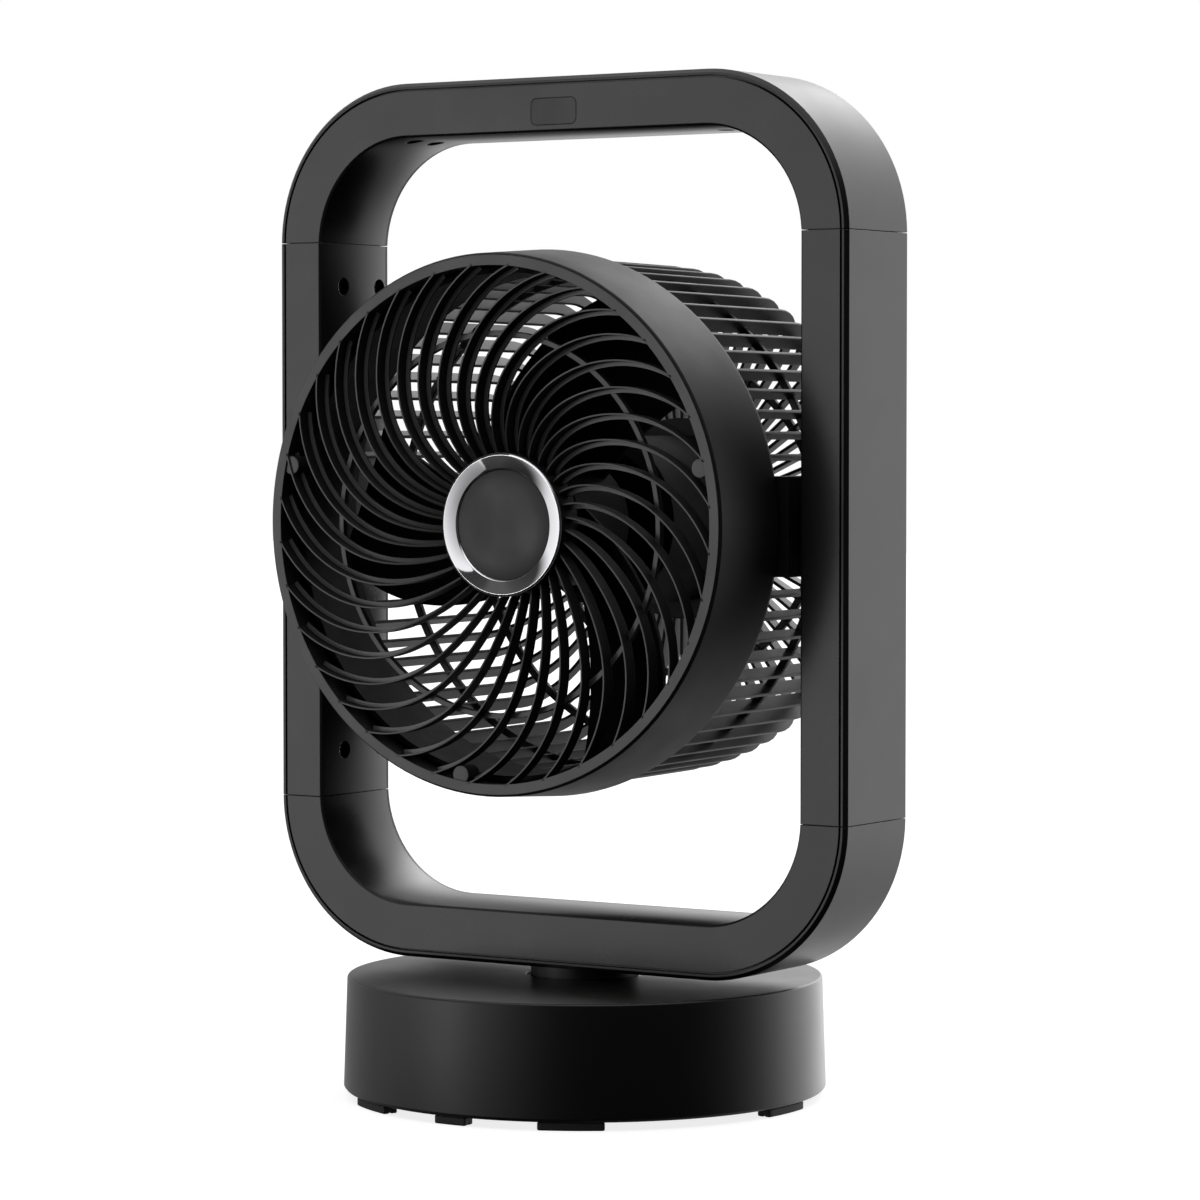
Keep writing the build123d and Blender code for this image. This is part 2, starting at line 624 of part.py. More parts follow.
def hub_ring():
    """Bright bevelled ring around the hub's face."""
    return head_turned(polygon([
        (HUB_FACE_R, HUB_FRONT_Y - 0.3), (HUB_R - 0.4, HUB_FRONT_Y - 1.4), (HUB_R, HUB_FRONT_Y - 1.0),
        (HUB_R, HUB_FRONT_Y + HUB_RING_DEPTH), (HUB_FACE_R, HUB_FRONT_Y + HUB_RING_DEPTH)]))


def hub_cap():
    """Plain round cap in the middle of the grille."""
    return head_turned(polygon([
        (0, HUB_FRONT_Y + 0.3), (HUB_FACE_R - 0.1, HUB_FRONT_Y + 0.3),
        (HUB_FACE_R - 0.1, HUB_FRONT_Y + HUB_RING_DEPTH), (0, HUB_FRONT_Y + HUB_RING_DEPTH)]))


DUCT_R = 94.5
DUCT_OUTER_R = 96.5
DUCT_FRONT_Y = -54.0
DUCT_REAR_Y = -20.0
WEB_THICK = 2.0
FLANGE_R = 103.2
FLANGE_BACK_Y = -27.4


def head_shroud():
    """Flared outer side of the head, with a flat web at its rear that the duct sits in."""
    seat_y = HEAD_FRONT_Y + RING_THICK
    return head_turned(polygon([
        (RING_OUTER_R - 0.7, HEAD_FRONT_Y + 0.8), (RING_OUTER_R, HEAD_FRONT_Y + 1.3),
        (SHROUD_REAR_R, SHROUD_REAR_Y), (DUCT_OUTER_R + 0.1, SHROUD_REAR_Y),
        (DUCT_OUTER_R + 0.1, SHROUD_REAR_Y - WEB_THICK), (SHROUD_REAR_R - 2.4, SHROUD_REAR_Y - WEB_THICK),
        (RING_OUTER_R - 2.4, seat_y + 3.0), (RING_OUTER_R - 2.4, seat_y), (RING_OUTER_R - 0.7, seat_y)]))


def air_duct():
    """Round duct around the impeller, with a collar that rests on the front of the shroud's web."""
    web_y = SHROUD_REAR_Y - WEB_THICK
    return head_turned(polygon([
        (DUCT_R, DUCT_FRONT_Y), (DUCT_OUTER_R, DUCT_FRONT_Y), (DUCT_OUTER_R, web_y - 2.0),
        (DUCT_OUTER_R + 2.0, web_y - 2.0), (DUCT_OUTER_R + 2.0, web_y), (DUCT_OUTER_R, web_y),
        (DUCT_OUTER_R, DUCT_REAR_Y), (DUCT_R, DUCT_REAR_Y)]))


def corner_point(radius, angle):
    """A point on the rounded corner of the fins, with the angle counted from the side."""
    turn = math.radians(angle)
    return BASKET_CORNER_X + radius * math.cos(turn), BASKET_CORNER_Y + radius * math.sin(turn)


def fin_corner(start, end):
    """The two arcs of a fin round the corner between two angles."""
    centre = (BASKET_CORNER_X, BASKET_CORNER_Y)
    return [CenterArc(centre, radius, start, end - start)
            for radius in (BASKET_CORNER_R, BASKET_CORNER_R - FIN_DEPTH)]


def fin_blade(outline):
    """Flat rib with an outline drawn as (radius, y)."""
    return extrude(make_face(outline), amount=FIN_THICK / 2, both=True)


def side_fin():
    """Thin rib along the side of the basket and round most of its corner."""
    outer, inner = BASKET_CORNER_R, BASKET_CORNER_R - FIN_DEPTH
    front_y = FLANGE_BACK_Y - 0.5
    outline = fin_corner(0, BASKET_SPLIT)
    outline += [
        Line((BASKET_R, front_y), corner_point(outer, 0)),
        Line(corner_point(outer, BASKET_SPLIT), corner_point(inner, BASKET_SPLIT)),
        Line(corner_point(inner, 0), (BASKET_R - FIN_DEPTH, front_y)),
        Line((BASKET_R - FIN_DEPTH, front_y), (BASKET_R, front_y))]
    return fin_blade(outline) - hoop(0, DUCT_OUTER_R + 0.3, FLANGE_BACK_Y - 12, DUCT_REAR_Y + 0.3)


def rear_fin():
    """Thin rib that carries on from a side fin and runs in to the rear plate."""
    outer, inner = BASKET_CORNER_R, BASKET_CORNER_R - FIN_DEPTH
    end_r = REAR_PLATE_R - 2.0
    outline = fin_corner(BASKET_SPLIT, 90)
    outline += [
        Line(corner_point(inner, BASKET_SPLIT), corner_point(outer, BASKET_SPLIT)),
        Line(corner_point(outer, 90), (end_r, BASKET_REAR_Y)),
        Line((end_r, BASKET_REAR_Y), (end_r, BASKET_REAR_Y - FIN_DEPTH)),
        Line((end_r, BASKET_REAR_Y - FIN_DEPTH), corner_point(inner, 90))]
    return fin_blade(outline)


PLATE_FRONT_Y = BASKET_REAR_Y - 7.0
PLATE_BACK_Y = BASKET_REAR_Y - 3.0
CABLE_HOLE_R = 5.0
HOOP_WIDTH = 3.0
HOOP_DEPTH = 2.5
SIDE_HOOP_Y = 14.0
CORNER_HOOP_R = BASKET_CORNER_X + 14.0
CORNER_HOOP_Y = BASKET_CORNER_Y + 9.0
REAR_HOOP_R = 60.5
REAR_HOOP_Y = BASKET_REAR_Y - 5.5
HEAD_SCREW_CIRCLE_R = 26.0
HEAD_SCREW_HOLE_R = 1.55


def saddle_zone(side):
    """Space that a pivot block takes up in the basket."""
    depth = SADDLE_REAR_Y - FLANGE_BACK_Y
    return Pos(side * 101, (SADDLE_REAR_Y + FLANGE_BACK_Y) / 2, 0) * Box(24, depth, 2 * SADDLE_HALF)


def fin_hoop(inner_r, y_front):
    """One of the rings that tie the fins together."""
    return hoop(inner_r, inner_r + HOOP_WIDTH, y_front, y_front + HOOP_DEPTH)


def basket_wall():
    """Side of the rear basket: a flange and fins that two hoops tie together."""
    flange = hoop(DUCT_OUTER_R + 0.3, FLANGE_R, SHROUD_REAR_Y, FLANGE_BACK_Y)
    side_hoop = fin_hoop(BASKET_R - FIN_DEPTH - 0.5, SIDE_HOOP_Y) - saddle_zone(-1) - saddle_zone(1)
    corner_hoop = fin_hoop(CORNER_HOOP_R, CORNER_HOOP_Y)
    fins = [f - saddle_zone(-1) - saddle_zone(1) if near_saddle(i) else f
            for i, f in enumerate(around(side_fin(), FIN_COUNT, (0, 0, 0), (0, 1, 0)))]
    return Pos(0, 0, HEAD_Z) * (flange + fins + [side_hoop, corner_hoop])


def rear_grille():
    """Rear of the basket: fins on a hoop, with a solid plate in the middle that carries the motor."""
    rear_hoop = fin_hoop(REAR_HOOP_R, REAR_HOOP_Y)
    plate = hoop(CABLE_HOLE_R, REAR_PLATE_R, PLATE_FRONT_Y, PLATE_BACK_Y)
    grille = plate + around(rear_fin(), FIN_COUNT, (0, 0, 0), (0, 1, 0)) + [rear_hoop]
    hole = rod(HEAD_SCREW_HOLE_R, (HEAD_SCREW_CIRCLE_R, PLATE_FRONT_Y, 0), (0, 1, 0), PLATE_BACK_Y - PLATE_FRONT_Y)
    return Pos(0, 0, HEAD_Z) * (grille - around(hole, 4, (0, 0, 0), (0, 1, 0), 45))


def near_saddle(index):
    """True for the fins that stop behind a pivot block."""
    angle = index * 360 / FIN_COUNT
    limit = math.degrees(math.asin((SADDLE_HALF + FIN_THICK) / BASKET_R))
    return min(angle % 180, 180 - angle % 180) < limit


def saddle(side):
    """Solid pivot block on one side of the head, with a seat for the axle."""
    depth = SADDLE_REAR_Y - FLANGE_BACK_Y
    middle = (SADDLE_REAR_Y + FLANGE_BACK_Y) / 2
    block = Pos(side * (SADDLE_FACE_X - 8), middle, 0) * Box(16, depth, 2 * SADDLE_HALF)
    inner = hoop(0, DUCT_OUTER_R + 0.3, FLANGE_BACK_Y - 5, SADDLE_REAR_Y + 5)
    block = block - inner
    seat = rod(AXLE_R, (side * (SADDLE_FACE_X - 5), 0, 0), (side, 0, 0), 6)
    return Pos(0, 0, HEAD_Z) * (block - seat)


def axle(side):
    """Steel stub axle of the tilt, fixed in its pivot block."""
    start = (side * (SADDLE_FACE_X - 5), 0, HEAD_Z)
    return tube(AXLE_R, 3.0, start, (side, 0, 0), 15.0)


def axle_ring(side):
    """Retaining ring on the axle's free end, inside the leg."""
    start = (side * (SADDLE_FACE_X + 8.5), 0, HEAD_Z)
    return tube(9.5, AXLE_R, start, (side, 0, 0), 1.5)


MOTOR_CAN_R = 33.0
MOTOR_FRONT_Y = 8.0
MOTOR_BACK_Y = PLATE_FRONT_Y
SHAFT_R = 4.0
BEARING_R = 9.5


def motor_front_can():
    """Front half of the motor housing, with the front bearing's seat."""
    y = MOTOR_FRONT_Y
    return head_turned(polygon([
        (SHAFT_R + 1.5, y - 4), (BEARING_R + 2, y - 4), (BEARING_R + 2, y), (MOTOR_CAN_R - 4, y), (MOTOR_CAN_R, y + 4),
        (MOTOR_CAN_R, y + 30), (MOTOR_CAN_R - 2, y + 30), (MOTOR_CAN_R - 2, y + 5), (MOTOR_CAN_R - 5, y + 2),
        (BEARING_R, y + 2), (BEARING_R, y - 2), (SHAFT_R + 1.5, y - 2)]))


def motor_rear_can():
    """Rear half of the motor housing, with the rear bearing's collar, screwed to the basket's plate."""
    y = MOTOR_FRONT_Y + 30
    back = MOTOR_BACK_Y
    can = head_turned(polygon([
        (MOTOR_CAN_R - 2, y), (MOTOR_CAN_R, y), (MOTOR_CAN_R, back), (SHAFT_R + 1.5, back),
        (SHAFT_R + 1.5, back - 2), (BEARING_R, back - 2), (BEARING_R, back - 6.5),
        (BEARING_R + 2, back - 6.5), (BEARING_R + 2, back - 2), (MOTOR_CAN_R - 2, back - 2)]))
    hole = rod(HEAD_SCREW_HOLE_R, (HEAD_SCREW_CIRCLE_R, back - 2, HEAD_Z), (0, 1, 0), 2.0)
    return can - around_head(hole, 4, 45)


def motor_stator():
    """Laminated ring with its windings, inside the housing."""
    y = MOTOR_FRONT_Y
    return head_turned(polygon([
        (19.5, y + 12), (MOTOR_CAN_R - 2.2, y + 12), (MOTOR_CAN_R - 2.2, y + 40), (19.5, y + 40)]))


def bearing(y_front):
    """Sealed ball bearing on the motor shaft."""
    return head_turned(polygon([
        (SHAFT_R + 0.03, y_front), (BEARING_R, y_front), (BEARING_R, y_front + 4.5), (SHAFT_R + 0.03, y_front + 4.5)]))


def motor_rotor():
    """Magnet rotor on the motor shaft."""
    y = MOTOR_FRONT_Y
    return head_turned(polygon([(SHAFT_R, y + 12), (18.8, y + 12), (18.8, y + 40), (SHAFT_R, y + 40)]))


IMPELLER_FRONT_Y = -44.0
IMPELLER_BACK_Y = -14.0
IMPELLER_HUB_R = 24.0
BLADE_COUNT = 3
BLADE_TIP_R = 91.0
BLADE_TURN = -73.5
BLADE_THICK = 2.2
BLADE_BOW = 0.12


def motor_shaft():
    """Steel shaft from the rotor forward through the impeller."""
    return Pos(0, 0, HEAD_Z) * rod(SHAFT_R, (0, IMPELLER_FRONT_Y + 1, 0), (0, 1, 0),
                                   MOTOR_BACK_Y - 3 - IMPELLER_FRONT_Y)


def impeller_nut():
    """Round nut that holds the impeller on its shaft."""
    return head_turned(polygon([
        (0, IMPELLER_FRONT_Y - 3), (7, IMPELLER_FRONT_Y - 3), (9, IMPELLER_FRONT_Y),
        (9, IMPELLER_FRONT_Y + 1), (0, IMPELLER_FRONT_Y + 1)]))


def impeller():
    """Three broad pitched blades on a drum-shaped hub."""
    front = IMPELLER_FRONT_Y + 1
    back = IMPELLER_BACK_Y + 8
    hub = revolve(polygon([
        (SHAFT_R, front), (19, front), (22.5, front + 1), (IMPELLER_HUB_R, front + 3),
        (IMPELLER_HUB_R, back), (IMPELLER_HUB_R - 2, back), (IMPELLER_HUB_R - 2, front + 4),
        (SHAFT_R + 4, front + 4), (SHAFT_R + 4, back), (SHAFT_R, back)]), axis=Axis.Y)
    blade = loft([
        blade_section(10.0, -7.0, 23.0, 28.0),
        blade_section(45.0, -26.0, 22.0, 24.0),
        blade_section(92.0, -88.0, -8.0, 18.0)])
    blade = blade & hoop(IMPELLER_HUB_R - 1.0, BLADE_TIP_R, HEAD_FRONT_Y, DUCT_REAR_Y + 20)
    blades = around(blade, BLADE_COUNT, (0, 0, 0), (0, 1, 0), BLADE_TURN)
    return Pos(0, 0, HEAD_Z) * (hub + blades)


def blade_section(distance, low_z, high_z, rise):
    """Bowed slice of a blade on a flat plane at a distance along +X; its lower edge is the rear one."""
    mid_y = (IMPELLER_FRONT_Y + IMPELLER_BACK_Y) / 2 + 2
    low, high = (low_z, mid_y + rise / 2), (high_z, mid_y - rise / 2)
    chord = high_z - low_z
    bow = BLADE_BOW * chord
    span = math.hypot(chord, rise)
    mid = ((low_z + high_z) / 2 + rise / span * bow, mid_y + chord / span * bow)
    edges = [ThreePointArc(*[(x, y + shift) for x, y in (low, mid, high)]) for shift in (0, BLADE_THICK)]
    edges += [Line((x, y), (x, y + BLADE_THICK)) for x, y in (low, high)]
    return Plane(origin=(distance, 0, 0), x_dir=(0, 0, 1), z_dir=(-1, 0, 0)) * make_face(edges)


def head_screws():
    """Screws that fix the motor housing to the basket's plate."""
    seat = (HEAD_SCREW_CIRCLE_R, PLATE_BACK_Y, HEAD_Z)
    one = screw(seat, (0, -1, 0), 7.0, 1.5, 2.8, 1.8)
    return around_head(one, 4, start=45)


# ---------------------------------------------------------------- write every piece
os.makedirs("parts", exist_ok=True)

save("base_cover", base_cover())
save("base_plate", base_plate())
save("rubber_feet", rubber_feet())
save("base_screws", base_screws())
save("ballast_ring", ballast_ring())
save("neck_washer", neck_washer())
save("swivel_bush", swivel_bush())
save("swivel_motor", swivel_motor())
save("motor_screws", motor_screws())
save("control_board", control_board())
save("power_socket", power_socket())
save("drive_pinion", drive_pinion())

shells = split_loop(frame_loop() - seam_nicks())
panels = split_loop(panel_loop())
save("frame_bottom", drill_bottom(shells["bottom"]))
save("frame_top", add_posts(shells["top"], top_screw_places(), (0, 0, 1), BAR_HEIGHT - OUTER_WALL))
window_hole = facing(window_outline(0), -HALF_DEPTH, PANEL_BACK_Y)
save("panel_bottom", panels["bottom"])
save("panel_top", sink_screws(panels["top"] - window_hole, top_screw_places(), (0, 0, 1)))
for name, side in (("left", -1), ("right", 1)):
    save(f"frame_{name}_leg", leg_shell(shells[name], side))
    save(f"panel_{name}", leg_lining(panels[name], side))
    save(f"{name}_tilt_bush", tilt_bush(side))
save("splice_sleeves", splice_sleeves())
save("frame_screws", frame_screws())
save("sensor_window", sensor_window())
save("sensor_board", sensor_board())
save("neck_post", neck_post())
save("neck_screws", neck_screws())
save("swivel_gear", swivel_gear())

save("front_grille", front_grille())
save("hub_ring", hub_ring())
save("hub_cap", hub_cap())
save("head_shroud", head_shroud())
save("air_duct", air_duct())
save("basket_wall", basket_wall())
save("rear_grille", rear_grille())
for name, side in (("left", -1), ("right", 1)):
    save(f"{name}_pivot_block", saddle(side))
    save(f"{name}_axle", axle(side))
    save(f"{name}_axle_ring", axle_ring(side))
save("motor_front_can", motor_front_can())
save("motor_rear_can", motor_rear_can())
save("motor_stator", motor_stator())
save("front_bearing", bearing(MOTOR_FRONT_Y - 2.0))
save("rear_bearing", bearing(MOTOR_BACK_Y - 6.5))
save("head_screws", head_screws())

save("impeller", impeller())
save("impeller_nut", impeller_nut())
save("motor_shaft", motor_shaft())
save("motor_rotor", motor_rotor())
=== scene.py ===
# %% [markdown]
# # A desk air circulator, dressed for its portrait
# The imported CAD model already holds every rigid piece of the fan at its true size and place.
# This lesson keeps those pieces where they are and gives each of them the finish of the real one.
# It also models the few pieces whose looks need softer forms than the CAD gives.
# All lengths are in metres, Z is up, and the air leaves towards -Y.

import json
import math

import bpy
from mathutils import Matrix, Vector


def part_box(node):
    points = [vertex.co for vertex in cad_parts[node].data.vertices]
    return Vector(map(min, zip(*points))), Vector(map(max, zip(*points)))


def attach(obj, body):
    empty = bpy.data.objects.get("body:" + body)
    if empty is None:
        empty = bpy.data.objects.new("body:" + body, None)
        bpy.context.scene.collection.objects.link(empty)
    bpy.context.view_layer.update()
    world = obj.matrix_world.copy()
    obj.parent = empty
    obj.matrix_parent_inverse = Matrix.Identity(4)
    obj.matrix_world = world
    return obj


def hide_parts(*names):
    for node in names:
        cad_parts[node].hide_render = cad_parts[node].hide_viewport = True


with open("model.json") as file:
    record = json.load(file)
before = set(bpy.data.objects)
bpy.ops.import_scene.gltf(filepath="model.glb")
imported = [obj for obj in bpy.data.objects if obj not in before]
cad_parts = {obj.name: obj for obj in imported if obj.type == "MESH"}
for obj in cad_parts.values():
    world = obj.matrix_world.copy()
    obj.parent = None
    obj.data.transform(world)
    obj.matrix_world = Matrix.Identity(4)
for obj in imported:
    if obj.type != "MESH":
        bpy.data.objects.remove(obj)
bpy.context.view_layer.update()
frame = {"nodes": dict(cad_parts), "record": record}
pieces = frame["nodes"]

# %% [markdown]
# ## The camera
# The portrait was taken from the right of the fan, from a little above the middle, with a long lens.
# A long lens far away keeps the upright edges almost parallel, as product pictures do.
# The place and the lens were found by matching the corners of the frame and the rings of the head.

# %% Camera
CAMERA_PLACE = (0.93584, -1.42612, 0.26188)
CAMERA_TILT = 87.629
CAMERA_TURN = 33.078
LENS_MM = 132.82

lens = bpy.data.cameras.new("portrait_lens")
lens.lens, lens.sensor_width = LENS_MM, 36
lens.clip_start, lens.clip_end = 0.05, 50
camera = bpy.data.objects.new("portrait_camera", lens)
camera.location = CAMERA_PLACE
camera.rotation_euler = (math.radians(CAMERA_TILT), 0, math.radians(CAMERA_TURN))
bpy.context.scene.collection.objects.link(camera)
bpy.context.scene.camera = camera
bpy.context.scene.view_settings.view_transform = "Standard"
print("camera is", round(Vector(CAMERA_PLACE).length, 2), "m from the base")

# %% [markdown]
# ## Helpers for nodes
# Materials, worlds and node groups are all trees of nodes, and each input of a node is either linked to
# another node's output or set to a plain value. One helper does whichever fits what it is given,
# so a node can be added, set and wired in one line.

# %% Helpers for node trees
def feed(tree, node, inputs):
    """Give inputs of a node what they are fed with: a socket is linked, a plain value is set."""
    for name, value in inputs.items():
        if isinstance(value, bpy.types.NodeSocket):
            tree.links.new(value, node.inputs[name])
        else:
            node.inputs[name].default_value = value


def add_node(tree, kind, inputs=None, **options):
    """A new node with some of its options set and some of its inputs fed."""
    node = tree.nodes.new(kind)
    for name, value in options.items():
        setattr(node, name, value)
    feed(tree, node, inputs or {})
    return node


def bare_tree(holder):
    """The emptied node tree of a new world or material."""
    holder.use_nodes = True
    holder.node_tree.nodes.clear()
    return holder.node_tree


print("node helpers ready")

# %% [markdown]
# Colours and brightness are worked out from sockets and plain numbers, mostly by Math, Mix and Map Range
# nodes. Each gets a short helper that gives back the result, so a formula reads as it does in plain Python.

# %% Helpers for values and colours
def math_node(tree, operation, *values):
    """The result of a Math node whose inputs are sockets or plain numbers."""
    return add_node(tree, "ShaderNodeMath", dict(enumerate(values)), operation=operation).outputs[0]


def times(tree, first, *others):
    """The product of several sockets or numbers."""
    for other in others:
        first = math_node(tree, "MULTIPLY", first, other)
    return first


def mixed(tree, share, first, second, kind="RGBA"):
    """A mix of two colours, or of two numbers where the kind is FLOAT."""
    inputs = {"Factor": share, "A": first, "B": second}
    return add_node(tree, "ShaderNodeMix", inputs, data_type=kind).outputs["Result"]


def map_range(tree, value, marks, levels=(0.0, 1.0), **options):
    """A value spread from between two marks to between two levels, each a socket or a number."""
    inputs = dict(zip(("Value", "From Min", "From Max", "To Min", "To Max"), (value, *marks, *levels)))
    return add_node(tree, "ShaderNodeMapRange", inputs, **options).outputs[0]


def smooth_step(tree, value, marks, levels=(0.0, 1.0)):
    """A soft step of a value between two marks."""
    return map_range(tree, value, marks, levels, interpolation_type="SMOOTHSTEP")


def soft_band(tree, value, rise, fall):
    """A soft step up between the two marks of the rise, and down again between those of the fall."""
    return times(tree, smooth_step(tree, value, rise), smooth_step(tree, value, fall, (1.0, 0.0)))


def split_xyz(tree, vector):
    """The three parts of a vector."""
    return add_node(tree, "ShaderNodeSeparateXYZ", {0: vector}).outputs


def shade(colour):
    """A colour from one grey level or from three levels."""
    levels = (colour, colour, colour) if isinstance(colour, (int, float)) else colour
    return (*levels, 1.0)


print("value helpers ready")

# %% [markdown]
# ## The studio
# The fan is almost black, so what one sees of it is mostly what it reflects.
# The picture shows a white room that is bright behind the fan and at its front left, and dark beside
# the camera. A lamp for each bright wall would do, but a world whose brightness follows the compass is
# simpler and softer. Two panels are set into its walls: one at the front left, and one high up behind
# the right side. Above the floor its mean level is about one, so a colour renders about as it is written.
# The camera itself sees plain white, through the Light Path node.

# %% Walls of the room
ROOM_PEAK = 2.9
ROOM_WALLS = (
    (-180, 0.5), (-168, 0.7), (-155, 1.0), (-142, 1.25), (-133, 2.0), (-128, 2.9), (-120, 2.9),
    (-117, 1.5), (-111, 1.2), (-103, 1.1), (-97, 0.8), (-84, 0.25), (-70, 0.04), (0, 0.04),
    (16, 0.15), (30, 0.45), (45, 1.1), (57, 1.85), (70, 2.1), (85, 2.4), (106, 2.4),
    (118, 1.8), (122, 1.15), (126, 0.7), (146, 0.5), (180, 0.5))


def compass_ramp(tree, walls, peak):
    """Brightness of the room's walls against the compass, with the ray's compass angle and height."""
    ray = split_xyz(tree, add_node(tree, "ShaderNodeTexCoord").outputs["Generated"])
    angle = math_node(tree, "ARCTAN2", ray["Y"], ray["X"])
    turns = math_node(tree, "ADD", math_node(tree, "DIVIDE", angle, 2 * math.pi), 0.5)
    ramp = add_node(tree, "ShaderNodeValToRGB", {0: turns})
    stops = ramp.color_ramp.elements
    for place, (degrees, level) in enumerate(walls):
        position = (degrees + 180) / 360
        stop = stops[place] if place < 2 else stops.new(position)
        stop.position = position
        stop.color = shade(level / peak)
    return ramp.outputs["Color"], times(tree, angle, 180 / math.pi), ray["Z"]


print("room walls:", len(ROOM_WALLS), "levels, the brightest", ROOM_PEAK)

# %% [markdown]
# The bright panel at the front left is drawn by what it leaves dark above and below it. Its lower edge drops
# at its near end and its upper edge rises there, both with a crisp step, which is what splits the reflection
# in the hub's ring. Marks along the compass are in degrees, and heights are those of a ray one metre long.

# %% Panels in the walls
FRONT_PANEL_ENDS = ((-170, -158), (-96, -84))
LOW_EDGE_TURN, LOW_EDGE_HEIGHTS = (-118.6, -117.4), ((-0.34, -0.46), (-0.15, -0.45))
HIGH_EDGE_TURN, HIGH_EDGE_HEIGHTS = (-107.6, -106.4), ((0.10, 0.36), (0.24, 0.38))
PANEL_TOP = (0.5, 0.85)
PANEL_SURROUND = 0.96
DIM_FOOT_TURN, DIM_FOOT_HEIGHTS, DIM_FOOT = (-119, -116), (-0.40, 0.10), 0.5
HIGH_PANEL_ENDS, HIGH_PANEL_HEIGHTS = ((78, 92), (106, 118)), ((0.15, 0.45), (0.75, 0.95))
HIGH_PANEL_GAIN = 0.8


def front_panel(tree, compass, height):
    """Share of the light that the panel at the front left leaves in its sector."""
    sector = soft_band(tree, compass, *FRONT_PANEL_ENDS)
    low_edge = [smooth_step(tree, compass, LOW_EDGE_TURN, heights) for heights in LOW_EDGE_HEIGHTS]
    high_edge = [smooth_step(tree, compass, HIGH_EDGE_TURN, heights) for heights in HIGH_EDGE_HEIGHTS]
    below = smooth_step(tree, height, low_edge, (1.0, 0.0))
    above = soft_band(tree, height, high_edge, PANEL_TOP)
    surround = times(tree, math_node(tree, "MAXIMUM", below, above), PANEL_SURROUND)
    near_end = smooth_step(tree, compass, DIM_FOOT_TURN)
    dim_foot = times(tree, near_end, smooth_step(tree, height, DIM_FOOT_HEIGHTS, (DIM_FOOT, 0.0)))
    hidden = times(tree, sector, math_node(tree, "MAXIMUM", surround, dim_foot))
    return math_node(tree, "SUBTRACT", 1.0, hidden)


def high_panel(tree, compass, height):
    """Gain of a second panel high up behind the right side, which lights the frame's rounded corners."""
    sector = soft_band(tree, compass, *HIGH_PANEL_ENDS)
    panel = times(tree, sector, soft_band(tree, height, *HIGH_PANEL_HEIGHTS), HIGH_PANEL_GAIN)
    return math_node(tree, "ADD", panel, 1.0)


print("panels ready, the high one", 1 + HIGH_PANEL_GAIN, "times as bright as its wall")

# %% World
CEILING_LEVEL, CEILING_HEIGHTS = 1.3, (0.45, 0.85)
GROUND_LEVEL, GROUND_HEIGHTS = 0.2, (-0.7, 0.0)

room = bpy.data.worlds.new("white_studio")
bpy.context.scene.world = room
tree = bare_tree(room)
walls, compass, height = compass_ramp(tree, ROOM_WALLS, ROOM_PEAK)
ceiling = smooth_step(tree, height, CEILING_HEIGHTS)
colour = mixed(tree, ceiling, walls, shade(CEILING_LEVEL / ROOM_PEAK))
panels = times(tree, front_panel(tree, compass, height), high_panel(tree, compass, height))
above_ground = smooth_step(tree, height, GROUND_HEIGHTS, (GROUND_LEVEL, 1.0))
strength = times(tree, panels, above_ground, ROOM_PEAK)
lit_room = add_node(tree, "ShaderNodeBackground", {"Color": colour, "Strength": strength})
white = add_node(tree, "ShaderNodeBackground", {"Color": shade(1.0), "Strength": 1.0})
rays = add_node(tree, "ShaderNodeLightPath")
seen = math_node(tree, "MAXIMUM", rays.outputs["Is Camera Ray"], rays.outputs["Is Transmission Ray"])
choice = add_node(tree, "ShaderNodeMixShader", {0: seen, 1: lit_room.outputs[0], 2: white.outputs[0]})
add_node(tree, "ShaderNodeOutputWorld", {0: choice.outputs[0]})
print("world:", len(tree.nodes), "nodes")

# %% [markdown]
# ## The floor
# The picture's ground is as white as its background, so the floor melts into it.
# The floor is pale and glows a little, which hides its edge and still lets the base darken it.
# Only the camera sees it, so that it doesn't light the fan from below: the world's own ground does that.

# %% Floor
FLOOR_WIDTH = 12
FLOOR_GREY, FLOOR_GLOW = 0.35, 0.82

bpy.ops.object.select_all(action="DESELECT")
bpy.ops.mesh.primitive_plane_add(size=FLOOR_WIDTH, location=(0, 0, 0))
floor = bpy.context.object
floor.name = "floor"
paint = bpy.data.materials.new("white_floor")
tree = bare_tree(paint)
pale = add_node(tree, "ShaderNodeBsdfDiffuse", {"Color": shade(FLOOR_GREY)})
glow = add_node(tree, "ShaderNodeEmission", {"Color": shade(1.0), "Strength": FLOOR_GLOW})
both = add_node(tree, "ShaderNodeAddShader", {0: pale.outputs[0], 1: glow.outputs[0]})
add_node(tree, "ShaderNodeOutputMaterial", {0: both.outputs[0]})
floor.data.materials.append(paint)
floor.visible_diffuse = False
floor.visible_glossy = False
print("floor laid:", floor.dimensions.x, "m wide")

# %% [markdown]
# ## Effects that the finishes use
# Six effects make up the finishes, so each is a node group that is built once.
# *Moulded grain* is the fine spark texture that a mould leaves on plastic.
# *Soft edge* rounds the look of sharp edges and says where they are, so that they can be a little paler.
# On the grille that paler colour is a painted highlight.
# *Settled dust* lies on what faces up.
# *Turned lines* are the fine rings that a lathe leaves on metal.
# *Slight crown* is the height of a surface that bulges a little from front to back.
# *Faces front* says how squarely a surface faces the front or the back; on the grille it sets where a paler
# colour is painted on as light.

# %% Helpers for node groups
FLOAT, VECTOR = "NodeSocketFloat", "NodeSocketVector"


def new_group(name, inputs, outputs):
    """An empty node group with named number inputs and outputs; returns its tree and its given values."""
    group = bpy.data.node_groups.new(name, "ShaderNodeTree")
    for label, value in inputs.items():
        socket = group.interface.new_socket(name=label, in_out="INPUT", socket_type=FLOAT)
        socket.default_value = value
    for label, kind in outputs.items():
        group.interface.new_socket(name=label, in_out="OUTPUT", socket_type=kind)
    return group, add_node(group, "NodeGroupInput").outputs


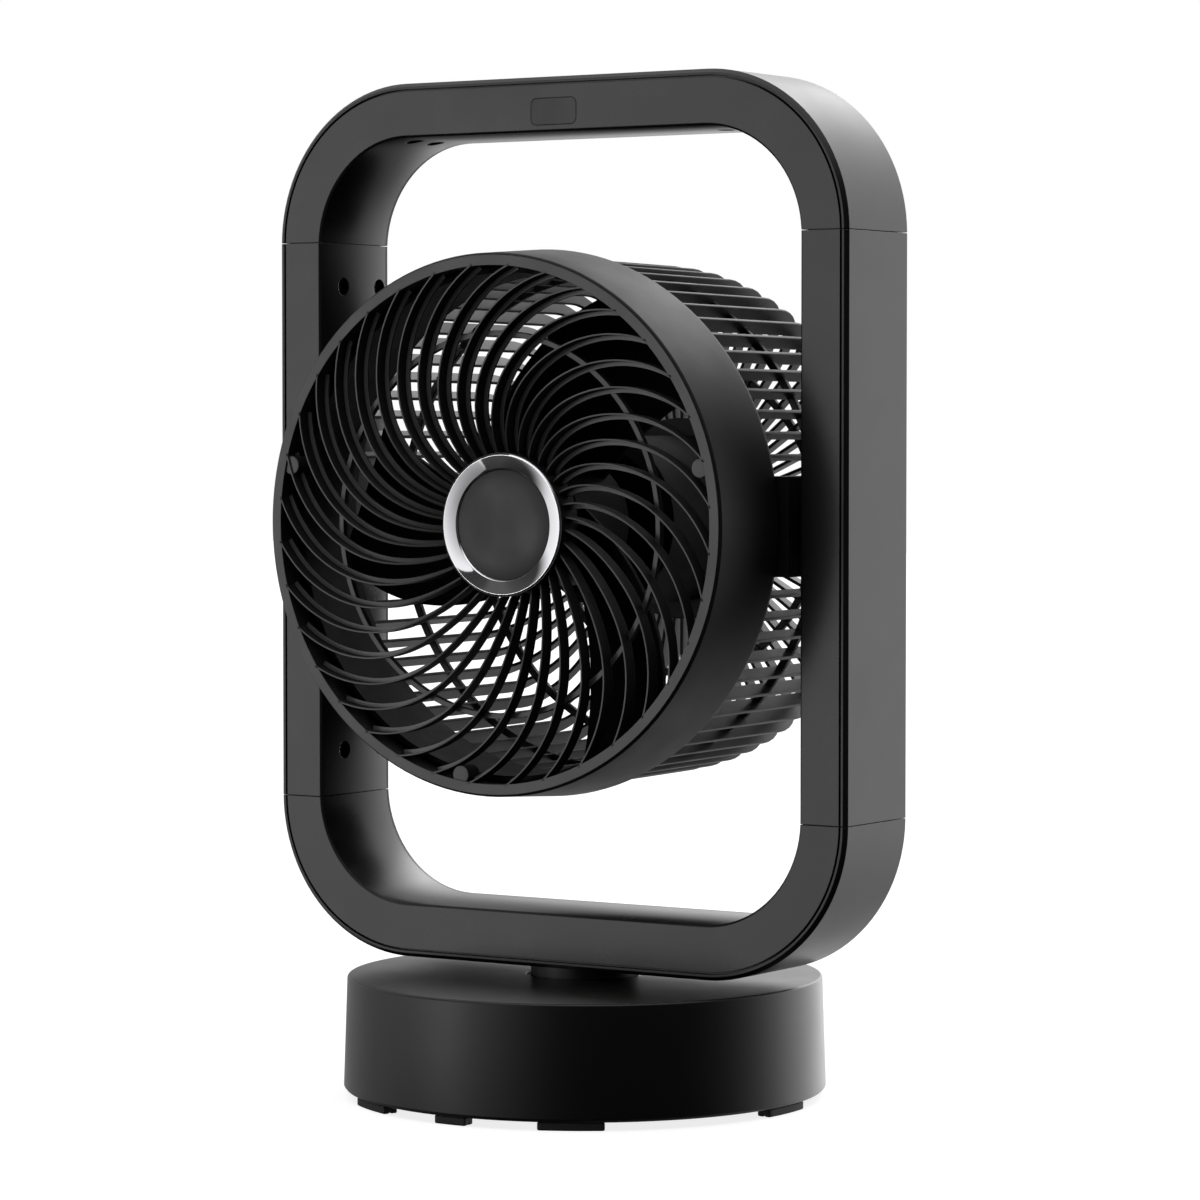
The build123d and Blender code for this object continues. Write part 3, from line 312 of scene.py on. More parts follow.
def give_out(group, values):
    """Feed a group's outputs and print how large it is."""
    add_node(group, "NodeGroupOutput", values)
    print(group.name.lower() + ":", len(group.nodes), "nodes")


def noise_of_size(tree, size, detail, roughness):
    """Noise over a piece's own coordinates, with patches of a given size."""
    place = add_node(tree, "ShaderNodeTexCoord").outputs["Object"]
    scale = math_node(tree, "DIVIDE", 1.0, size)
    inputs = {"Vector": place, "Scale": scale, "Detail": detail, "Roughness": roughness}
    return add_node(tree, "ShaderNodeTexNoise", inputs).outputs["Fac"]


def surface_normal(tree):
    """The normal of the surface itself, without bumps."""
    return add_node(tree, "ShaderNodeNewGeometry").outputs["Normal"]


print("group helpers ready")

# %% Moulded grain
grain, given = new_group(
    "Moulded grain", {"Size": 0.0004, "Clouding": 0.02}, {"Height": FLOAT, "Mottle": FLOAT})
sparks = noise_of_size(grain, given["Size"], 3.0, 0.6)
clouds = noise_of_size(grain, given["Clouding"], 2.0, 0.5)
give_out(grain, {"Height": sparks, "Mottle": clouds})

# %% Soft edge
EDGE_SAMPLES = 4
EDGE_MARKS = (0.01, 0.2)

edges, given = new_group("Soft edge", {"Radius": 0.0003}, {"Normal": VECTOR, "Edge": FLOAT})
rounded = add_node(edges, "ShaderNodeBevel", {"Radius": given["Radius"]}, samples=EDGE_SAMPLES).outputs[0]
both = {0: rounded, 1: surface_normal(edges)}
agree = add_node(edges, "ShaderNodeVectorMath", both, operation="DOT_PRODUCT").outputs["Value"]
turned_away = math_node(edges, "SUBTRACT", 1.0, agree)
give_out(edges, {"Normal": rounded, "Edge": map_range(edges, turned_away, EDGE_MARKS)})

# %% Settled dust
UPWARD_MARKS = (0.3, 1.0)
PATCH_MARKS = (0.45, 0.8)

dust, given = new_group("Settled dust", {"Patch": 0.004}, {"Dust": FLOAT})
lying = map_range(dust, split_xyz(dust, surface_normal(dust))["Z"], UPWARD_MARKS)
patchy = map_range(dust, noise_of_size(dust, given["Patch"], 5.0, 0.75), PATCH_MARKS)
give_out(dust, {"Dust": times(dust, lying, patchy)})

# %% Turned lines
ALONG_SHARE = 0.05

lathe, given = new_group("Turned lines", {"Pitch": 0.0006}, {"Height": FLOAT, "Shine": FLOAT})
across = math_node(lathe, "DIVIDE", 1.0, given["Pitch"])
along = times(lathe, across, ALONG_SHARE)
stretch = add_node(lathe, "ShaderNodeCombineXYZ", {"X": along, "Y": across, "Z": along}).outputs[0]
place = add_node(lathe, "ShaderNodeTexCoord").outputs["Object"]
stretched = add_node(lathe, "ShaderNodeVectorMath", {0: place, 1: stretch}, operation="MULTIPLY").outputs[0]
noise = add_node(lathe, "ShaderNodeTexNoise", {"Vector": stretched, "Detail": 2.0, "Scale": 1.0})
lines = noise.outputs["Fac"]
give_out(lathe, {"Height": lines, "Shine": lines})

# %% Slight crown
crown, given = new_group("Slight crown", {"Middle": 0.0, "Steepness": 0.0}, {"Height": FLOAT})
place = add_node(crown, "ShaderNodeTexCoord").outputs["Object"]
from_middle = math_node(crown, "SUBTRACT", split_xyz(crown, place)["Y"], given["Middle"])
bulge = times(crown, from_middle, from_middle, -0.5, given["Steepness"])
give_out(crown, {"Height": bulge})

# %% Faces front
SQUARE_MARKS = (0.45, 0.7)

facing, given = new_group("Faces front", {}, {"Front": FLOAT})
sideways = math_node(facing, "ABSOLUTE", split_xyz(facing, surface_normal(facing))["Y"])
give_out(facing, {"Front": map_range(facing, sideways, SQUARE_MARKS)})

# %% [markdown]
# ## Plastics
# Nearly all of the fan is black plastic from a mould with a fine spark texture.
# One function lays out such a material: grain and soft edges go to the normal, clouding to the roughness,
# and paler edges and a trace of dust to the colour.
# Numbers that are the same all over the piece sit on the shader's own sockets.
# The frame's trim also gets a slight crown, which lets the light fade across its lining.
# The grille's vanes are duller on their flanks, which a mould's ejection leaves matt. The grille's faces
# towards the front are painted paler than its flanks, as painted light, and its edges paler still, as painted
# highlights.
# The fronts of the vanes' feet lie in shade and are painted paler again, as painted light, so they still show
# as a clear line.
# The blades and the motor's paint are so matt that they stay black behind the vanes.

# %% Helpers for finishes
def new_finish(name):
    """A new material, its tree and its Principled shader."""
    finish = bpy.data.materials.new(name)
    finish.use_nodes = True
    return finish, finish.node_tree, finish.node_tree.nodes["Principled BSDF"]


def group_node(tree, group, **inputs):
    """The outputs of a node group placed in a material with its own values."""
    return add_node(tree, "ShaderNodeGroup", inputs, node_tree=group).outputs


def bumped(tree, normal, height, strength, distance):
    """A normal tilted by the slopes of a height."""
    inputs = {"Strength": strength, "Distance": distance, "Height": height, "Normal": normal}
    return add_node(tree, "ShaderNodeBump", inputs).outputs[0]


print("finish helpers ready")

# %% A plastic from a mould
DUST_COLOUR = (0.30, 0.29, 0.27)
MOTTLE_MARKS = (0.3, 0.7)
GRAIN_STRENGTH = 0.5


def moulded_plastic(name, colour, edge_colour, roughness, grain_size=0.0004, grain_depth=0.00002,
                    edge_radius=0.0003, dusty=0.04, rough_spread=0.05, ior=1.46,
                    crowned=None, flank_roughness=None, painted_front_light=None, shine=0.5):
    """Satin plastic with grain, soft paler edges (painted highlights on the grille), clouded gloss and a
    trace of dust.

    A painted front light, which paints faces towards the front or back paler, and a flank roughness go
    together, and crowned is the crown's middle and steepness.
    """
    finish, tree, shader = new_finish(name)
    texture = group_node(tree, grain, Size=grain_size)
    rim = group_node(tree, edges, Radius=edge_radius)
    body_colour = shade(colour)
    spread = (roughness - rough_spread, roughness + rough_spread)
    haze = map_range(tree, texture["Mottle"], MOTTLE_MARKS, spread)
    # Faces towards the front or back get a paler colour: painted light, beside flanks left dark as in shade.
    if painted_front_light:
        front = group_node(tree, facing)["Front"]
        body_colour = mixed(tree, front, body_colour, shade(painted_front_light))
        haze = mixed(tree, front, flank_roughness, haze, "FLOAT")
    # Edges take the edge colour, which on the grille is a painted highlight.
    clean = mixed(tree, rim["Edge"], body_colour, shade(edge_colour))
    dust_share = times(tree, group_node(tree, dust)["Dust"], dusty)
    normal = rim["Normal"]
    if crowned:
        middle, steepness = crowned
        bulge = group_node(tree, crown, Middle=middle, Steepness=steepness)["Height"]
        normal = bumped(tree, normal, bulge, 1.0, 1.0)
    feed(tree, shader, {
        "Base Color": mixed(tree, dust_share, clean, shade(DUST_COLOUR)), "Roughness": haze, "IOR": ior,
        "Specular IOR Level": shine,
        "Normal": bumped(tree, normal, texture["Height"], GRAIN_STRENGTH, grain_depth)})
    return finish


print("plastic ready")

# %% Plastics of the fan
TRIM_CROWN = (0.0117, 11.9)
DARK_GREEN, PALE_GREEN = (0.012, 0.055, 0.025), (0.03, 0.12, 0.06)
OFF_WHITE, PALER_WHITE = (0.62, 0.61, 0.57), (0.70, 0.69, 0.66)
# The grille's front colour is painted light, its edge colour a painted highlight, and the feet's front colour
# painted light against their shade.
VANE_FRONT_PAINTED_LIGHT, FOOT_PAINTED_LIGHT, VANE_EDGE_HIGHLIGHT = 0.05, 0.12, 0.16
VANE_GLOSS = {"edge_radius": 0.00015, "rough_spread": 0.03, "ior": 1.42}

finishes = {
    "shell": moulded_plastic("satin_black_shell", 0.004, 0.010, 0.34, rough_spread=0.015),
    "front_face": moulded_plastic(
        "satin_frame_trim", 0.005, 0.012, 0.28, rough_spread=0.01, crowned=TRIM_CROWN),
    "grille_with_painted_light": moulded_plastic(
        "satin_grille_painted_light", 0.002, VANE_EDGE_HIGHLIGHT, 0.30, flank_roughness=0.9, painted_front_light=VANE_FRONT_PAINTED_LIGHT, **VANE_GLOSS),
    "grille_foot_painted_light": moulded_plastic("vane_foot_painted_light", FOOT_PAINTED_LIGHT, VANE_EDGE_HIGHLIGHT, 0.30, **VANE_GLOSS),
    "shroud": moulded_plastic("satin_shroud", 0.004, 0.010, 0.46, rough_spread=0.03, ior=1.38),
    "inner_black": moulded_plastic("matt_inner_black", 0.002, 0.004, 0.6, 0.0006, ior=1.28),
    "hub_face": moulded_plastic("satin_hub_face", 0.022, 0.03, 0.42, 0.0003, 0.00001),
    "window": moulded_plastic("dark_window", 0.004, 0.008, 0.2, 0.0006, 0.000002, dusty=0.05, ior=1.35),
    "foot_rubber": moulded_plastic("matt_rubber", 0.012, 0.02, 0.7, 0.0006, 0.00005, dusty=0.3),
    "blade": moulded_plastic("blade_plastic", 0.0015, 0.004, 0.6, 0.0006, 0.00001, ior=1.20, shine=0.2),
    "motor_steel": moulded_plastic(
        "matt_motor_paint", 0.002, 0.005, 0.65, 0.0006, 0.00001, ior=1.22, shine=0.25),
    "nylon": moulded_plastic("white_nylon", OFF_WHITE, PALER_WHITE, 0.35, 0.0006, 0.00001),
    "board": moulded_plastic("green_board", DARK_GREEN, PALE_GREEN, 0.25, 0.0008),
}
print(len(finishes), "plastics made")

# %% [markdown]
# ## Metals
# The ring around the hub is plated, so it is a mirror with very soft haze.
# Screws, axles, bearings and the motor's shaft are zinc-plated or turned steel, and the screws of the frame
# are blackened. The weight in the base is cast, and the motor's windings are enamelled copper.

# %% A plated or turned metal
TURNED_STRENGTH = 0.4
DARKER_TINT = 0.92


def metal_finish(name, colour, roughness, pitch, depth, edge_radius=0.0003):
    """Metal with turned lines, soft edges and an uneven shine."""
    finish, tree, shader = new_finish(name)
    turned = group_node(tree, lathe, Pitch=pitch)
    rim = group_node(tree, edges, Radius=edge_radius)
    darker = shade([level * DARKER_TINT for level in colour])
    feed(tree, shader, {
        "Metallic": 1.0,
        "Base Color": mixed(tree, turned["Shine"], darker, shade(colour)),
        "Roughness": map_range(tree, turned["Shine"], (0.0, 1.0), (roughness * 0.8, roughness * 1.2)),
        "Normal": bumped(tree, rim["Normal"], turned["Height"], TURNED_STRENGTH, depth)})
    return finish


finishes["chrome_trim"] = metal_finish("plated_trim", (0.80, 0.80, 0.82), 0.05, 0.004, 0.0, 0.0001)
finishes["steel"] = metal_finish("zinc_steel", (0.55, 0.55, 0.56), 0.30, 0.0004, 0.000005)
finishes["black_steel"] = metal_finish("blackened_steel", (0.05, 0.05, 0.05), 0.45, 0.0004, 0.000005)
finishes["ballast"] = metal_finish("cast_weight", (0.15, 0.15, 0.15), 0.6, 0.002, 0.00005)
finishes["windings"] = metal_finish("copper_windings", (0.45, 0.22, 0.10), 0.4, 0.0007, 0.0001)
print(len(finishes), "finishes in all")

# %% [markdown]
# ## Dress the CAD pieces
# The record of the model says which finish each piece has, so the finishes are handed out from it.
# The duct lies deep behind the vanes, where a duller black keeps it as dark as the picture shows it,
# and the shroud is a little duller than the frame.

# %% Hand out the finishes
DULLER_PIECES = {"air_duct": "inner_black", "head_shroud": "shroud"}

for part in frame["record"]["subparts"]:
    mesh = pieces[part["node"]].data
    mesh.materials.clear()
    mesh.materials.append(finishes[DULLER_PIECES.get(part["node"], part["material_slot"])])

# %% [markdown]
# ## Helpers for modelling
# New pieces are made the way a hand would make them: a primitive, a few edit-mode operators, then modifiers.
# An operator works on all that is selected, so each helper first selects only the piece that it shapes.
# The head's middle and the grille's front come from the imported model, so the new pieces sit where the CAD
# pieces sit.

# %% Helpers for starting a piece
grille_low, grille_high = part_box("front_grille")
HEAD_Z = (grille_low.z + grille_high.z) / 2
GRILLE_FRONT = grille_low.y
HEAD_MIDDLE = Vector((0, 0, HEAD_Z))
MERGE = 1e-6
FACING_FRONT = (math.pi / 2, 0, 0)


def select_only(piece):
    """Make one piece the active and only selected one."""
    bpy.ops.object.select_all(action="DESELECT")
    piece.select_set(True)
    bpy.context.view_layer.objects.active = piece


def primitive(name, add, stretch=(1, 1, 1), **options):
    """A primitive that is added on its own, stretched and named, with its place and turn in its mesh."""
    bpy.ops.object.select_all(action="DESELECT")
    add(**options)
    piece = bpy.context.object
    piece.scale = stretch
    bpy.ops.object.transform_apply(location=True, rotation=True, scale=True)
    piece.name = piece.data.name = name
    return piece


print("head's middle at", round(1000 * HEAD_Z, 1), "mm, grille's front at", round(1000 * GRILLE_FRONT, 1))

# %% Helpers for editing a piece
def edit(piece, action="DESELECT"):
    """Open one piece for editing with nothing of it selected, or all of it where the action is SELECT."""
    select_only(piece)
    bpy.ops.object.mode_set(mode="EDIT")
    bpy.ops.mesh.select_all(action=action)


def open_where(piece, wanted):
    """Open one piece for editing with only the points selected whose place is wanted."""
    edit(piece)
    bpy.ops.object.mode_set(mode="OBJECT")
    for point in piece.data.vertices:
        point.select = wanted(point.co)
    bpy.ops.object.mode_set(mode="EDIT")


def close_up(piece):
    """Merge doubles, turn the faces outwards and leave edit mode."""
    bpy.ops.mesh.select_all(action="SELECT")
    bpy.ops.mesh.remove_doubles(threshold=MERGE)
    bpy.ops.mesh.normals_make_consistent(inside=False)
    bpy.ops.object.mode_set(mode="OBJECT")
    return piece


def extrude(move):
    """Extrude the selected faces by a move."""
    bpy.ops.mesh.extrude_region_move(TRANSFORM_OT_translate={"value": move})


def extrude_edge(move):
    """Extrude the selected edges by a move."""
    bpy.ops.mesh.extrude_edges_move(TRANSFORM_OT_translate={"value": move})


print("editing helpers ready")

# %% Helpers for soft edges and cuts
def soften(piece, width, segments=2, angle=35, smooth=50):
    """Round the edges sharper than an angle with a Bevel modifier, apply it and shade smooth."""
    select_only(piece)
    bevel = piece.modifiers.new("soft_edges", "BEVEL")
    bevel.width, bevel.segments = width, segments
    bevel.limit_method, bevel.angle_limit = "ANGLE", math.radians(angle)
    bevel.harden_normals = False
    bpy.ops.object.modifier_apply(modifier=bevel.name)
    bpy.ops.object.shade_smooth_by_angle(angle=math.radians(smooth))
    return piece


def cut_away(piece, cutter, smooth):
    """Cut one piece out of another with a Boolean modifier, and shade the rest smooth again."""
    select_only(piece)
    cut = piece.modifiers.new("cut", "BOOLEAN")
    cut.operation, cut.solver, cut.object = "DIFFERENCE", "EXACT", cutter
    bpy.ops.object.modifier_apply(modifier=cut.name)
    bpy.ops.object.shade_smooth_by_angle(angle=math.radians(smooth))
    bpy.data.objects.remove(cutter)


print("bevel and cutter ready")

# %% Helpers for copies
def copied(piece, name, matrix):
    """A copy with its own mesh, moved by a matrix that goes into the mesh."""
    twin = piece.copy()
    twin.data = piece.data.copy()
    twin.data.transform(matrix)
    twin.name = twin.data.name = name
    bpy.context.scene.collection.objects.link(twin)
    return twin


def join(parts, name):
    """Several meshes made one piece, which takes the place of the first."""
    whole = parts[0]
    select_only(whole)
    for other in parts[1:]:
        other.select_set(True)
    bpy.ops.object.join()
    whole.name = whole.data.name = name
    return whole


def turn_about(middle, degrees):
    """Matrix of a turn about an axis from front to back, counter-clockwise as seen from the front."""
    there = Matrix.Translation(middle)
    return there @ Matrix.Rotation(math.radians(-degrees), 4, "Y") @ there.inverted()


def on_circle(radius, degrees):
    """The two coordinates of a point on a circle."""
    return radius * math.cos(math.radians(degrees)), radius * math.sin(math.radians(degrees))


print("copying helpers ready")

# %% [markdown]
# A new piece stands for one or more pieces of the CAD model, which it hides, and moves with their body.
# One helper says all that and hands out the finish, so no piece is left without.

# %% A helper that finishes a piece
def finish_piece(piece, slot, body, *replaced, finish=None):
    """Give a new piece its finish and the body that it moves with, and hide the CAD pieces it stands for."""
    piece.data.materials.clear()
    piece.data.materials.append(finishes[finish or slot])
    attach(piece, body)
    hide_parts(*replaced)
    print(piece.name + ":", len(piece.data.polygons), "faces, for", " and ".join(replaced))


print("finishing helper ready")

# %% A helper for turned rings
RING_STEPS = 192


def lathe_ring(name, profile, filled=False, upright=False):
    """Turn a profile of (radius, distance along the axis) points about the head's or the upright axis.

    A circle is the first point, and each further point is its edge extruded, moved and scaled.
    The last edge is then bridged back to the first, or both ends are filled.
    """
    axis, foot = (Vector((0, 0, 1)), Vector()) if upright else (Vector((0, 1, 0)), HEAD_MIDDLE)
    radius, along = profile[0]
    ring = primitive(name, bpy.ops.mesh.primitive_circle_add, vertices=RING_STEPS, radius=radius,
                     location=foot + axis * along, rotation=(0, 0, 0) if upright else FACING_FRONT)
    edit(ring, "SELECT")
    for next_radius, next_along in profile[1:]:
        extrude_edge(axis * (next_along - along))
        wider = next_radius / radius
        bpy.ops.transform.resize(value=(wider, wider if upright else 1, 1 if upright else wider),
                                 center_override=foot + axis * next_along)
        radius, along = next_radius, next_along
    bpy.ops.mesh.select_all(action="DESELECT")
    bpy.ops.mesh.select_non_manifold()
    if filled:
        bpy.ops.mesh.edge_face_add()
    else:
        bpy.ops.mesh.bridge_edge_loops()
    return close_up(ring)


print("lathe ready, with", RING_STEPS, "steps to a turn")

# %% [markdown]
# ## The bright ring around the hub
# On the real fan this is a plated ring with a broad sloping face and two fine rims that catch the light.
# The CAD ring has sharp corners, which no plating has, so this one is turned again with its rims,
# and a Bevel modifier rounds each corner by a tenth of a millimetre.

# %% Plated ring
ring_low, ring_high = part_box("hub_ring")
RING_R = (ring_high.x - ring_low.x) / 2
RING_FRONT, RING_BACK = ring_low.y, ring_high.y
DISC_R = 0.0208
RIM = 0.0005
SLOPE_FOOT, SLOPE_EDGE, OUTER_EDGE = 0.0016, 0.0010, 0.0004

plated_ring = lathe_ring("plated_ring", [
    (DISC_R, RING_BACK), (DISC_R, RING_FRONT + SLOPE_FOOT), (DISC_R + RIM, RING_FRONT + SLOPE_EDGE),
    (RING_R - RIM, RING_FRONT), (RING_R, RING_FRONT + OUTER_EDGE), (RING_R, RING_BACK)])
soften(plated_ring, 0.0001, angle=15, smooth=12)
finish_piece(plated_ring, "chrome_trim", "head", "hub_ring")

# %% [markdown]
# ## The hub's disc
# The disc inside the ring is a plain moulded cap. Its rim is rounded, and its face is very slightly crowned,
# as flat mouldings are once they have cooled.

# %% Disc
CROWN = 0.00006
DISC_PLAY = 0.0001
CROWN_R, FLAT_R = 0.014, 0.006

disc_low, disc_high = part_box("hub_cap")
hub_disc = lathe_ring("hub_disc", [
    (DISC_R - DISC_PLAY, disc_high.y), (DISC_R - DISC_PLAY, disc_low.y + CROWN),
    (CROWN_R, disc_low.y + CROWN / 2), (FLAT_R, disc_low.y)], filled=True)
soften(hub_disc, 0.00008)
finish_piece(hub_disc, "hub_face", "head", "hub_cap")

# %% [markdown]
# ## The spiral grille
# Thirty-six thin vanes run in circular arcs from the front ring to the hub, and a middle ring ties them.
# Each vane is a thin blade whose front edge shows as a fine bright line, and whose back edge has a small foot
# on the hollow side of its arc, which shows as a second, broader line behind the first.
# So one vane is made with that section, spun about the centre of its arc, rounded, pushed back along the
# grille's curved front, and copied round the head. The fronts of the feet are marked in an attribute,
# because they get a paler colour of their own once the grille is whole: painted light against the shade they
# lie in.

# %% Vane section spun along its arc
VANE_COUNT = 36
BLADE_DEPTH = 0.0050
BLADE_THICK = 0.0007
FOOT_DEPTH = 0.0010
FOOT_REACH = 0.0017
VANE_ARC_R = 0.0527
VANE_ARC_OFFSET = 0.0565
VANE_TURN = 1.45
VANE_OUTER_R = 0.0975
VANE_INNER_R = 0.0255
VANE_STEPS = 32
NEAR, MARK_DEPTH = 0.0002, 0.0005


def vane_arc_angle(radius):
    """Angle about the arc's centre, in degrees, of the vane's point at a distance from the head's axis."""
    cosine = (radius ** 2 + VANE_ARC_OFFSET ** 2 - VANE_ARC_R ** 2) / (2 * radius * VANE_ARC_OFFSET)
    turn = math.acos(cosine)
    return math.degrees(math.atan2(radius * math.sin(turn), radius * math.cos(turn) - VANE_ARC_OFFSET))


arc_centre = HEAD_MIDDLE + Vector((VANE_ARC_OFFSET, 0, 0))
arc_start, arc_end = vane_arc_angle(VANE_OUTER_R), vane_arc_angle(VANE_INNER_R)
blade_x = arc_centre.x + VANE_ARC_R
foot_front = GRILLE_FRONT + BLADE_DEPTH
vane = primitive("vane", bpy.ops.mesh.primitive_plane_add, (BLADE_THICK, BLADE_DEPTH, 1),
                 size=1, location=(blade_x, GRILLE_FRONT + BLADE_DEPTH / 2, HEAD_Z))
open_where(vane, lambda point: point.y > foot_front - NEAR)
extrude_edge((0, FOOT_DEPTH, 0))
bpy.ops.object.mode_set(mode="OBJECT")
open_where(vane, lambda point: point.y > foot_front - NEAR and point.x < blade_x)
extrude_edge((-FOOT_REACH, 0, 0))
bpy.ops.mesh.select_all(action="SELECT")
vane_span = math.radians(arc_end - arc_start)
bpy.ops.mesh.spin(steps=VANE_STEPS, angle=vane_span, center=arc_centre, axis=(0, 1, 0))
close_up(vane)
soften(vane, 0.0001, smooth=20)
# The fronts of the feet are marked for a paler colour, painted light against their shade.
foot_light_mark = vane.data.attributes.new("foot_front", "BOOLEAN", "FACE")
for face in vane.data.polygons:
    foot_light_mark.data[face.index].value = face.normal.y < -0.9 and face.center.y > foot_front - MARK_DEPTH
vane.data.transform(turn_about(arc_centre, arc_start))
print("one vane:", len(vane.data.polygons), "faces, arc of", round(arc_end - arc_start), "degrees")

# %% [markdown]
# The front of the grille is flat outside and curves back towards the hub, like a shallow dish.
# Each point of the vane is pushed back by the depth of that dish at its distance from the middle,
# and no further forward than the seat of the bright ring.

# %% Vane pushed back along the dish
DISH_FLAT_R = 0.065
DISH_ARC_R = 0.0726
SEAT_R = RING_R + 0.0003
SEAT_FRONT = RING_BACK + 0.0001


def dish_depth(radius):
    """How far the grille's front lies behind its flat outer zone at a distance from the axis."""
    inside = max(0.0, DISH_FLAT_R - radius)
    return DISH_ARC_R - math.sqrt(DISH_ARC_R ** 2 - inside ** 2)


for point in vane.data.vertices:
    from_axis = math.hypot(point.co.x, point.co.z - HEAD_Z)
    point.co.y += dish_depth(from_axis)
    if from_axis < SEAT_R:
        point.co.y = max(point.co.y, SEAT_FRONT)
vane.data.update()
vanes = []
for i in range(VANE_COUNT):
    vanes.append(copied(vane, f"vane_{i}", turn_about(HEAD_MIDDLE, -VANE_TURN - 360 / VANE_COUNT * i)))
bpy.data.objects.remove(vane)
print(len(vanes), "vanes, pushed back by up to", round(1000 * dish_depth(RING_R), 1), "mm at the hub")

# %% [markdown]
# The rings are turned like the hub's. The front ring has a lip that runs back inside the shroud, the middle
# ring is a flat band a few millimetres behind the vanes' front, and the seat carries the bright ring
# in a thin black collar.

# %% Rings of the grille
FRONT_RING_R = (grille_high.x - grille_low.x) / 2
FRONT_RING_WIDTH, FRONT_RING_DEPTH = 0.0040, 0.0022
LIP_IN, LIP_OUT, LIP_DEPTH = 0.0004, 0.0018, 0.0100
MID_RING_R = 0.0716
MID_RING_WIDTH, MID_RING_DEPTH = 0.0021, 0.0026
MID_RING_SINK = 0.0051
COLLAR_PLAY, COLLAR_REACH, COLLAR_SINK = 0.00003, 0.00035, 0.0005
SEAT_WALL, SEAT_THICK, SEAT_DEPTH, SEAT_HOLE_R = 0.0030, 0.0020, 0.0070, 0.004

inner_r = FRONT_RING_R - FRONT_RING_WIDTH
ring_back = GRILLE_FRONT + FRONT_RING_DEPTH
lip_back = GRILLE_FRONT + LIP_DEPTH
front_ring = lathe_ring("front_ring", [
    (inner_r, GRILLE_FRONT), (FRONT_RING_R, GRILLE_FRONT), (FRONT_RING_R, ring_back),
    (inner_r + LIP_OUT, ring_back), (inner_r + LIP_OUT, lip_back), (inner_r + LIP_IN, lip_back)])
soften(front_ring, 0.00015, smooth=20)
mid_front = GRILLE_FRONT + MID_RING_SINK
mid_back = mid_front + MID_RING_DEPTH
mid_in, mid_out = MID_RING_R - MID_RING_WIDTH / 2, MID_RING_R + MID_RING_WIDTH / 2
middle_ring = lathe_ring("middle_ring", [
    (mid_in, mid_front), (mid_out, mid_front), (mid_out, mid_back), (mid_in, mid_back)])
soften(middle_ring, 0.0002, smooth=20)
collar_in, collar_out = RING_R + COLLAR_PLAY, RING_R + COLLAR_REACH
hub_seat = lathe_ring("hub_seat", [
    (collar_in - SEAT_WALL, RING_BACK + SEAT_DEPTH), (collar_in - SEAT_WALL, RING_BACK + SEAT_THICK),
    (SEAT_HOLE_R, RING_BACK + SEAT_THICK), (SEAT_HOLE_R, RING_BACK), (collar_in, RING_BACK),
    (collar_in, RING_FRONT + COLLAR_SINK), (collar_out, RING_FRONT + COLLAR_SINK),
    (collar_out, RING_BACK + SEAT_DEPTH)])
soften(hub_seat, 0.0001)
print("front ring, middle ring and seat turned")

# %% [markdown]
# The three bosses that hold the grille are round tabs that merge with the front ring. Each is a cylinder
# whose front is inset and raised a touch in the middle, and all its edges are rounded.
# Then the vanes, rings and bosses are joined, and the marked fronts of the feet get their own paler finish,
# painted light.

# %% Bosses and the whole grille
BOSS_R = 0.0036
BOSS_DEPTH, BOSS_SINK = 0.0075, 0.0008
BOSS_INSET, BOSS_CROWN = 0.0014, 0.0001
BOSS_CIRCLE_R = 0.0948
BOSS_ANGLES = (13.3, 166.7, -98.0)

boss_front = GRILLE_FRONT + BOSS_SINK
boss = primitive("boss", bpy.ops.mesh.primitive_cylinder_add, vertices=40, radius=BOSS_R, depth=BOSS_DEPTH,
                 rotation=FACING_FRONT, location=(BOSS_CIRCLE_R, boss_front + BOSS_DEPTH / 2, HEAD_Z))
open_where(boss, lambda point: point.y < boss_front + MERGE)
bpy.ops.mesh.inset(thickness=BOSS_INSET)
bpy.ops.transform.translate(value=(0, -BOSS_CROWN, 0))
close_up(boss)
soften(boss, 0.0003, angle=30, smooth=20)
bosses = [copied(boss, f"boss_{i}", turn_about(HEAD_MIDDLE, angle)) for i, angle in enumerate(BOSS_ANGLES)]
bpy.data.objects.remove(boss)
spiral_grille = join([front_ring, middle_ring, hub_seat] + vanes + bosses, "spiral_grille")
finish_piece(spiral_grille, "front_face", "head", "front_grille", finish="grille_with_painted_light")
# The feet's fronts take a paler finish: painted light.
spiral_grille.data.materials.append(finishes["grille_foot_painted_light"])
foot_light_faces = [mark.value for mark in spiral_grille.data.attributes["foot_front"].data]
for face, gets_foot_light in zip(spiral_grille.data.polygons, foot_light_faces):
    face.material_index = int(gets_foot_light)
spiral_grille.data.attributes.remove(spiral_grille.data.attributes["foot_front"])
print(sum(foot_light_faces), "faces on the fronts of the vanes' feet")

# %% [markdown]
# ## The rear basket
# Behind the shroud, seventy-two thin fins run back, turn a corner and run in to a plate that carries the
# motor. A fin is a flat bar bent on edge, so it is made just so: a small section is extruded along the side,
# spun round the corner and extruded inwards. Its edges are rounded and it is copied round the head.
# Fins at the pivots start behind the pivot blocks. A flange and three hoops tie the fins together.

